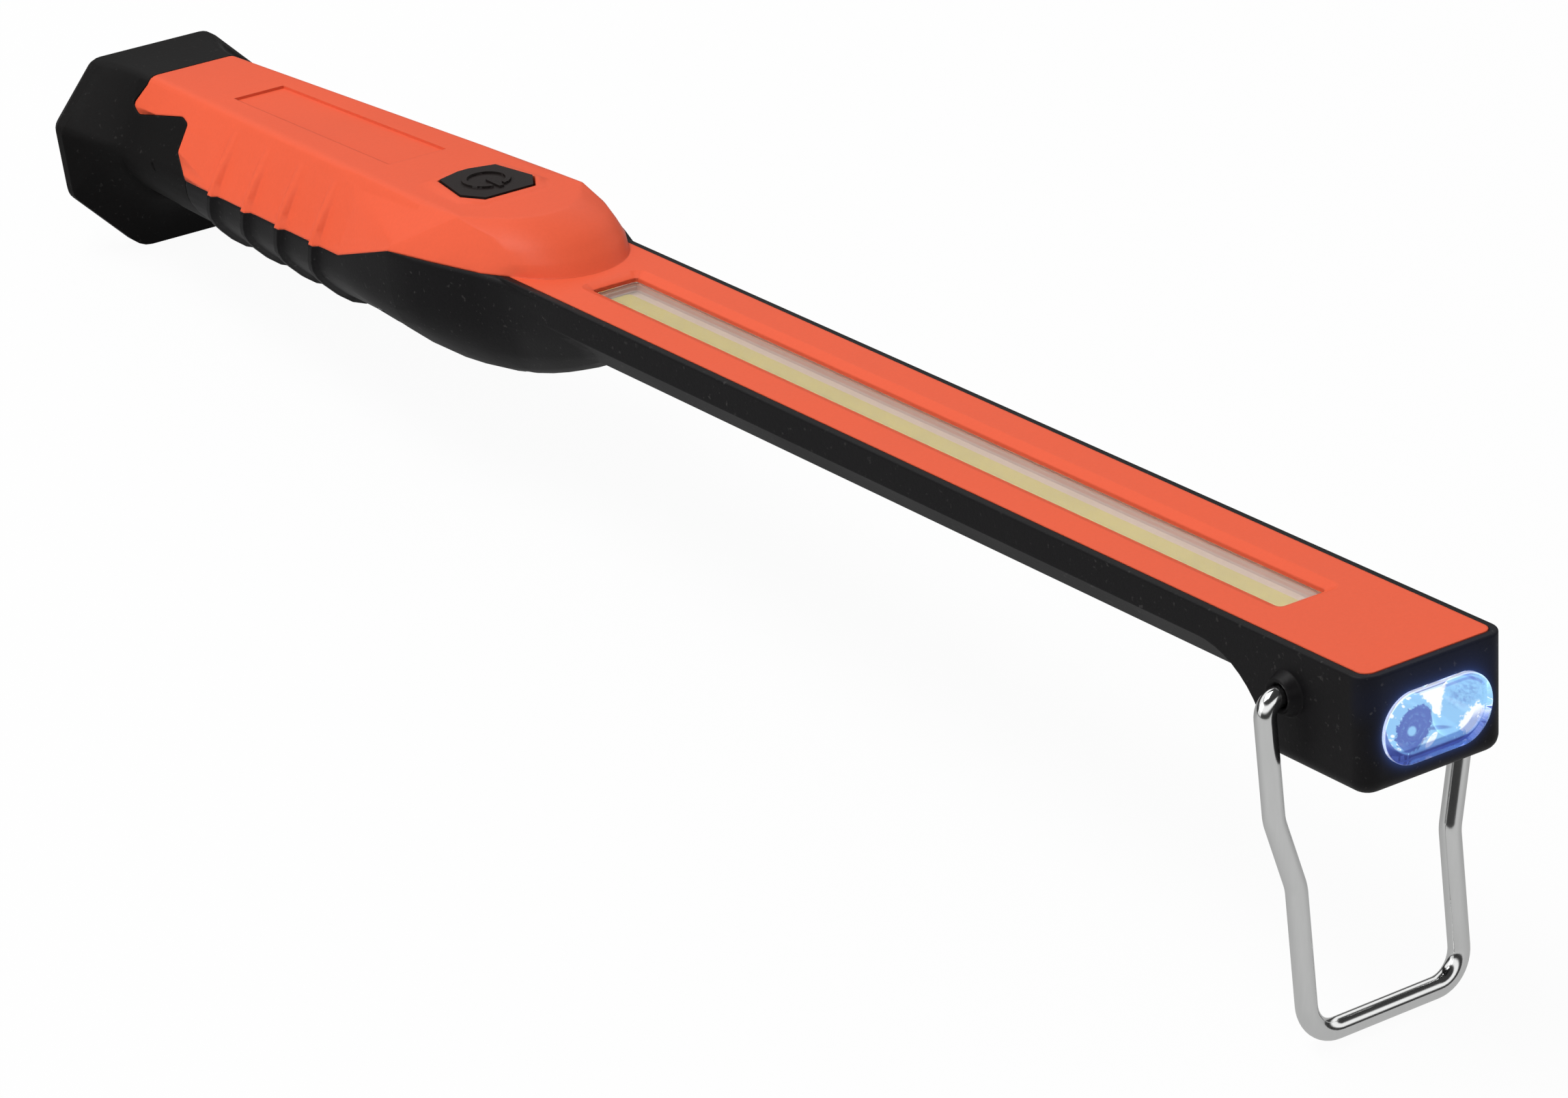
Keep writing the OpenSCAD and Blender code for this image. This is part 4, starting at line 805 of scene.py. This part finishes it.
class WORKLIGHT_OT_strip(bpy.types.Operator):
    """Dresses the strip light: window, tray, board, coating and spreader."""

    bl_idname = "work_light.strip"
    bl_label = "Strip light"

    def execute(self, context):
        tones = context.scene.work_light_colours
        sizes = context.scene.work_light_sizes
        piece = copy_of("strip_lens", "strip_window")
        smooth(piece, sizes.smooth)
        glass, _, _ = clear("window_clear", (0.97, 0.97, 0.96), 0.03, 0.25)
        finish_piece(piece, glass, "strip_clear", "housing", "strip_lens")
        tray, _, shader = moulded("tray_grey", tones.tray, 0.35)
        # Painted light: the tray glows faintly in its own colour, lifting its shaded end wall
        shader.inputs["Emission Color"].default_value = (*tones.tray, 1.0)
        shader.inputs["Emission Strength"].default_value = 0.28
        dress("light_tray", tray)
        dress("strip_board", moulded("strip_board_white", tones.white_board, 0.4)[0])
        dress("strip_phosphor", moulded(
            "phosphor_gel", tones.phosphor, 0.45, grain=3200.0, drift=0.25, relief=0.00006,
        )[0])
        dress("heat_spreader", metal("spreader_aluminium", tones.aluminium, 0.35))
        return {"FINISHED"}


class WORKLIGHT_OT_spot(bpy.types.Operator):
    """Dresses the lit spot at the tip: lens, cups, dies and board."""

    bl_idname = "work_light.spot"
    bl_label = "Spot light"

    def execute(self, context):
        tones = context.scene.work_light_colours
        sizes = context.scene.work_light_sizes
        piece = copy_of("spot_lens", "spot_window")
        smooth(piece, sizes.smooth)
        glass, tree, shader = clear("spot_clear", (0.95, 0.97, 1.0), 0.02, 0.2)
        # The lens's edge light and the violet in its wall are painted in
        self.light_rim(tree, shader, tones)
        finish_piece(piece, glass, "spot_clear", "housing", "spot_lens")
        cups = metal("cup_plating_and_painted_light", (0.10, 0.11, 0.15), 0.12)
        # The cups are plated metal with their light and shade painted in as emission
        self.light_cups(cups, tones)
        dress("spot_reflector", cups)
        dies, _, shader = moulded("led_coating", (0.75, 0.62, 0.16), 0.4, grain=3000.0)
        shader.inputs["Emission Color"].default_value = (*tones.glow, 1.0)
        shader.inputs["Emission Strength"].default_value = 1.6
        dress("spot_leds", dies)
        dress("spot_board", moulded("spot_board_green", tones.green_board, 0.4)[0])
        return {"FINISHED"}

    def light_rim(self, tree, shader, tones):
        """Painted highlight along the lens's edge, and painted violet light and shade in its wall.
        """
        field = add(tree, "ShaderNodeGroup", node_tree=spot_field())
        # Painted highlight on the rim's front, brightest at the top of the near end
        rim = ease(tree, (field, "Edge"), -0.22, -0.05)
        turn = ease(tree, weigh(tree, (field, "Side"), -0.09, (field, "Rise"), 0.16), -0.9, 0.9)
        strength = scaled(tree, turn, 0.5, 0.03)
        ahead = ease(tree, (field, "Front"), 1.1, 1.4)
        bright = calc(tree, "MULTIPLY", calc(tree, "MULTIPLY", rim, strength), ahead)
        light = lay_over(tree, bright, (0.0, 0.0, 0.0), tones.flare)
        # Dim violet painted light in the rim behind its front
        sunk = calc(tree, "MULTIPLY", rim, calc(tree, "SUBTRACT", 1.0, ahead))
        light = lay_over(tree, calc(tree, "MULTIPLY", sunk, 0.45), light, tones.deep)
        feed(tree, light, shader.inputs["Emission Color"])
        shader.inputs["Emission Strength"].default_value = 1.0
        # In the glass's own colour: painted shade along its foot, and a painted violet line under
        # its upper edge
        plain = shader.inputs["Base Color"].links[0].from_node
        below = calc(
            tree, "MULTIPLY", ease(tree, (field, "Edge"), -1.9, -1.5),
            ease(tree, (field, "Rise"), -1.2, -3.2),
        )
        base = lay_over(tree, calc(tree, "MULTIPLY", below, 0.92), (plain, "Color"), tones.deep)
        inward = calc(tree, "ABSOLUTE", calc(tree, "ADD", (field, "Edge"), 0.85))
        under = ease(tree, inward, 0.4, 0.1)
        above = calc(
            tree, "MULTIPLY", ease(tree, (field, "Rise"), 2.6, 3.8),
            ease(tree, (field, "Side"), -0.5, 2.0),
        )
        line = calc(tree, "MULTIPLY", calc(tree, "MULTIPLY", under, above), 0.8)
        base = lay_over(tree, line, base, tones.violet)
        feed(tree, base, shader.inputs["Base Color"])

    def light_cups(self, cups, tones):
        """Painted light, highlights and shade in the two cups, as the clear front shows them."""
        tree = cups.node_tree
        shader = tree.nodes["Principled BSDF"]
        field = add(tree, "ShaderNodeGroup", node_tree=spot_field())
        coords = add(tree, "ShaderNodeTexCoord")
        deep = calc(tree, "MAXIMUM", calc(tree, "SUBTRACT", -1.8, (field, "Front")), 0.0)
        side = weigh(tree, (field, "Side"), 1.0, deep, -0.69, -1.4)
        rise = weigh(tree, (field, "Rise"), 1.0, deep, 0.52, 1.04)
        grain = add(tree, "ShaderNodeTexNoise", {"Scale": 1700.0, "Detail": 2.0})
        join(tree, coords, "Object", grain, "Vector")
        cells = add(tree, "ShaderNodeTexVoronoi", {"Scale": 1050.0, "Randomness": 1.0})
        join(tree, coords, "Object", cells, "Vector")

        def leaf(middle, size, lean=0.0):
            """Distance from a leaning oval's middle, 1 on its outline."""
            across = weigh(
                tree, side, 1.0 / size[0], rise, -lean / size[0],
                (lean * middle[1] - middle[0]) / size[0],
            )
            along = scaled(tree, rise, 1.0 / size[1], -middle[1] / size[1])
            return span(tree, across, along)

        rough = calc(tree, "SUBTRACT", (grain, "Fac"), 0.5)
        # The well: an oval of violet painted shade with rings of painted light, and a painted spot
        # of light in it
        well = weigh(tree, leaf(*SPOT_WELL), 1.0, rough, 0.5)
        dark = ease(tree, well, 1.04, 0.92)
        rings = ease(tree, calc(tree, "SINE", calc(tree, "MULTIPLY", well, 21.0)), 0.1, 1.0)
        lines = calc(tree, "MULTIPLY", rings, ease(tree, (grain, "Fac"), 0.35, 0.75))
        cup = lay_over(tree, calc(tree, "MULTIPLY", lines, 0.22), tones.deep, tones.glow)
        dot = ease(tree, leaf(*SPOT_DOT), 1.1, 0.6)
        cup = lay_over(tree, dot, cup, tones.glow)
        # Painted shade over the cups' glow in an oval
        shade = calc(
            tree, "MULTIPLY", ease(tree, leaf(*SPOT_SHADE), 1.2, 0.3),
            ease(tree, (grain, "Fac"), 0.30, 0.70),
        )
        tone = lay_over(tree, calc(tree, "MULTIPLY", shade, 0.55), tones.glow, tones.deep)
        # A painted highlight in a wedge between the cups
        apart = calc(tree, "ABSOLUTE", weigh(tree, side, 1.0, rise, 0.27, -1.2))
        inside = weigh(tree, rise, 1.0, apart, -1.7, 0.4)
        wedge = ease(tree, weigh(tree, inside, 1.0, rough, 2.2), -0.3, 0.5)
        tone = lay_over(tree, wedge, tone, tones.flare)
        # A tail of painted shade
        tail = ease(tree, leaf(*SPOT_TAIL), 1.15, 0.5)
        tone = lay_over(tree, calc(tree, "MULTIPLY", tail, 0.75), tone, tones.deep)
        # Painted sparkles towards one end
        stars = ease(tree, (cells, "Distance"), 0.46, 0.24)
        corner = ease(tree, weigh(tree, side, 1.0, rise, -0.3), -5.2, -6.6)
        tone = lay_over(tree, calc(tree, "MULTIPLY", stars, corner), tone, tones.flare)
        tone = lay_over(tree, dark, tone, cup)
        # A painted highlight in a slanting pane, and a painted glint
        slant = weigh(tree, weigh(tree, side, 0.652, rise, -0.758), 1.0, rough, 2.6)
        course = weigh(tree, weigh(tree, side, 0.758, rise, 0.652), 1.0, rough, 3.0)
        pane = calc(
            tree, "MULTIPLY",
            calc(tree, "MULTIPLY", ease(tree, slant, 4.4, 5.2), ease(tree, slant, 8.3, 7.6)),
            calc(tree, "MULTIPLY", ease(tree, course, 1.3, 1.9), ease(tree, course, 6.9, 6.2)),
        )
        tone = lay_over(tree, pane, tone, tones.flare)
        glint = ease(tree, leaf(*SPOT_GLINT), 1.05, 0.8)
        tone = lay_over(tree, glint, tone, tones.flare)
        # Outside the lens's outline: a band from painted shade to painted light, and a painted
        # line of light along the outline
        off = calc(tree, "ABSOLUTE", calc(tree, "SUBTRACT", side, 0.45))
        past = calc(tree, "SUBTRACT", off, SPOT_HALF)
        wall = calc(
            tree, "SUBTRACT",
            span(tree, calc(tree, "MAXIMUM", past, 0.0), calc(tree, "SUBTRACT", rise, 0.6)), 4.8,
        )
        band = lay_over(tree, ease(tree, side, 5.5, 9.5), tones.deep, tones.glow)
        tone = lay_over(tree, ease(tree, wall, 0.0, 0.3), tone, band)
        line = ease(tree, calc(tree, "ABSOLUTE", wall), 0.26, 0.06)
        tone = lay_over(tree, calc(tree, "MULTIPLY", line, 0.5), tone, tones.glow)
        feed(tree, tone, shader.inputs["Emission Color"])
        shader.inputs["Emission Strength"].default_value = 1.15


class WORKLIGHT_OT_inside(bpy.types.Operator):
    """Dresses the battery, boards, leads, magnet, socket and screws."""

    bl_idname = "work_light.inside"
    bl_label = "Inside parts"

    def execute(self, context):
        tones = context.scene.work_light_colours
        dress("base_magnet", metal("magnet_nickel", tones.nickel, 0.22))
        dress("magnet_keeper", metal("keeper_steel", tones.steel, 0.35))
        dress("battery_cell", moulded("cell_wrap", tones.wrap, 0.3, relief=0.00002)[0])
        dress("cell_tabs", metal("tab_nickel", tones.nickel, 0.3))
        dress("battery_leads", moulded("battery_lead_red", tones.red_lead, 0.45)[0])
        dress("strip_leads", moulded("strip_lead_red", tones.red_lead, 0.45)[0])
        dress("spot_leads_pair", moulded("spot_lead_black", tones.black_lead, 0.45)[0])
        dress("main_board", moulded("main_board_green", tones.green_board, 0.4)[0])
        dress("board_parts", moulded("parts_black", tones.black_lead, 0.5)[0])
        dress("charge_socket", metal("socket_steel", tones.steel, 0.28))
        dress("case_screws", metal("screw_steel", tones.steel, 0.32))
        return {"FINISHED"}


class WORKLIGHT_OT_stage(bpy.types.Operator):
    """Sets the camera, the pale floor, the lights and the backdrop."""

    bl_idname = "work_light.stage"
    bl_label = "Stage"

    def execute(self, context):
        look = context.scene.work_light_stage
        scene = context.scene
        scene.view_settings.view_transform = "Standard"
        ahead = Vector(look.ahead).normalized()
        right = ahead.cross(Vector(look.upright)).normalized()
        upright = right.cross(ahead)
        turn = Matrix((right, upright, -ahead)).transposed().to_4x4()
        data = bpy.data.cameras.new("studio_camera")
        data.sensor_fit = "HORIZONTAL"
        data.sensor_width = 36.0
        data.lens = look.lens
        data.clip_start = 0.01
        camera = bpy.data.objects.new("studio_camera", data)
        camera.matrix_world = Matrix.Translation(look.place) @ turn
        scene.collection.objects.link(camera)
        scene.camera = camera
        self.lay_floor(look)
        self.hang_light("key_light", Vector(look.key_place), (1.2, 0.9), look.key)
        self.hang_light("fill_light", Vector(look.fill_place), (1.2, 1.2), look.fill)
        self.paint_world(scene, look)
        return {"FINISHED"}

    def lay_floor(self, look):
        """A wide pale floor that shows near white and keeps a soft shadow."""
        bpy.ops.object.select_all(action="DESELECT")
        bpy.ops.mesh.primitive_plane_add(size=12.0, location=(0.0, 0.0, CAD_LOW[2]))
        floor = bpy.context.object
        floor.name = "studio_floor"
        bpy.ops.object.transform_apply(location=True, rotation=True, scale=True)
        material, tree, shader = new_material("floor_paper")
        shader.inputs["Base Color"].default_value = (*look.floor, 1.0)
        shader.inputs["Roughness"].default_value = 0.9
        shader.inputs["Specular IOR Level"].default_value = 0.1
        path = add(tree, "ShaderNodeLightPath")
        shown = math_node(
            tree, "MAXIMUM", (path, "Is Camera Ray"), (path, "Is Transmission Ray"),
        )
        part = math_node(tree, "MULTIPLY", (shown, "Value"), look.paper)
        paper = add(tree, "ShaderNodeEmission", {"Strength": 1.0})
        blend = add(tree, "ShaderNodeMixShader")
        join(tree, part, "Value", blend, 0)
        join(tree, shader, "BSDF", blend, 1)
        join(tree, paper, "Emission", blend, 2)
        mirrored = add(tree, "ShaderNodeEmission")
        coords = add(tree, "ShaderNodeTexCoord")
        split = add(tree, "ShaderNodeSeparateXYZ")
        join(tree, coords, "Object", split, "Vector")
        toward = weigh(tree, (split, "X"), 0.81, (split, "Y"), -0.59, -0.15)
        level = ease(tree, toward, -0.12, 0.09)
        sheen = scaled(tree, level, look.sheen_floor - look.sheen_back, look.sheen_back)
        feed(tree, sheen, mirrored.inputs["Strength"])
        gloss = add(tree, "ShaderNodeMixShader")
        join(tree, path, "Is Glossy Ray", gloss, 0)
        join(tree, blend, "Shader", gloss, 1)
        join(tree, mirrored, "Emission", gloss, 2)
        join(tree, gloss, "Shader", tree.nodes["Material Output"], "Surface")
        floor.data.materials.append(material)

    def hang_light(self, name, place, size, power):
        """A rectangular soft light that faces the object."""
        data = bpy.data.lights.new(name, "AREA")
        data.shape = "RECTANGLE"
        data.size, data.size_y = size
        data.energy = power
        light = bpy.data.objects.new(name, data)
        aim = Vector((0.02, 0.0, 0.04)) - place
        light.rotation_euler = aim.to_track_quat("-Z", "Y").to_euler()
        light.location = place
        bpy.context.scene.collection.objects.link(light)

    def paint_world(self, scene, look):
        """White where seen, a light bank over dark walls in gloss, gentle light elsewhere."""
        world = bpy.data.worlds.new("studio_world")
        world.use_nodes = True
        tree = world.node_tree
        coords = add(tree, "ShaderNodeTexCoord")
        split = add(tree, "ShaderNodeSeparateXYZ")
        join(tree, coords, "Generated", split, "Vector")
        rising = ease(tree, (split, "Z"), 0.22, 0.40)
        fading = ease(tree, (split, "Z"), 0.74, 0.62)
        strip = calc(tree, "MULTIPLY", rising, fading)
        bank = scaled(tree, strip, look.sheen_top - look.sheen_wall, look.sheen_wall)
        round_about = scaled(tree, (split, "X"), -look.lean * look.ambient, look.ambient)
        path = add(tree, "ShaderNodeLightPath")
        mirrored = add(tree, "ShaderNodeMix", data_type="FLOAT")
        join(tree, path, "Is Glossy Ray", mirrored, 0)
        feed(tree, round_about, mirrored.inputs[2])
        feed(tree, bank, mirrored.inputs[3])
        shown = math_node(
            tree, "MAXIMUM", (path, "Is Camera Ray"), (path, "Is Transmission Ray"),
        )
        level = add(tree, "ShaderNodeMix", data_type="FLOAT")
        level.inputs[3].default_value = 1.0
        join(tree, shown, "Value", level, 0)
        tree.links.new(mirrored.outputs[0], level.inputs[2])
        sky = tree.nodes["Background"]
        sky.inputs["Color"].default_value = (1.0, 1.0, 1.0, 1.0)
        tree.links.new(level.outputs[0], sky.inputs["Strength"])
        scene.world = world


PIECES = (
    WORKLIGHT_OT_stage,
    WORKLIGHT_OT_housing,
    WORKLIGHT_OT_hook,
    WORKLIGHT_OT_button,
    WORKLIGHT_OT_strip,
    WORKLIGHT_OT_spot,
    WORKLIGHT_OT_inside,
)


class WORKLIGHT_PT_panel(bpy.types.Panel):
    """Lists the work light's pieces and its stage."""

    bl_idname = "WORKLIGHT_PT_panel"
    bl_label = "Work Light"
    bl_space_type = "VIEW_3D"
    bl_region_type = "UI"
    bl_category = "Work Light"

    def draw(self, context):
        for piece in PIECES:
            self.layout.operator(piece.bl_idname)


GROUPS = (
    ("work_light_colours", WorkLightColours),
    ("work_light_sizes", WorkLightSizes),
    ("work_light_stage", WorkLightStage),
)


def register():
    for name, group in GROUPS:
        bpy.utils.register_class(group)
        setattr(bpy.types.Scene, name, PointerProperty(type=group))
    for piece in PIECES:
        bpy.utils.register_class(piece)
    bpy.utils.register_class(WORKLIGHT_PT_panel)


def unregister():
    bpy.utils.unregister_class(WORKLIGHT_PT_panel)
    for piece in reversed(PIECES):
        bpy.utils.unregister_class(piece)
    for name, group in reversed(GROUPS):
        delattr(bpy.types.Scene, name)
        bpy.utils.unregister_class(group)


def main():
    register()
    bpy.ops.work_light.stage()
    bpy.ops.work_light.housing()
    bpy.ops.work_light.hook()
    bpy.ops.work_light.button()
    bpy.ops.work_light.strip()
    bpy.ops.work_light.spot()
    bpy.ops.work_light.inside()


if __name__ == "__main__":
    main()
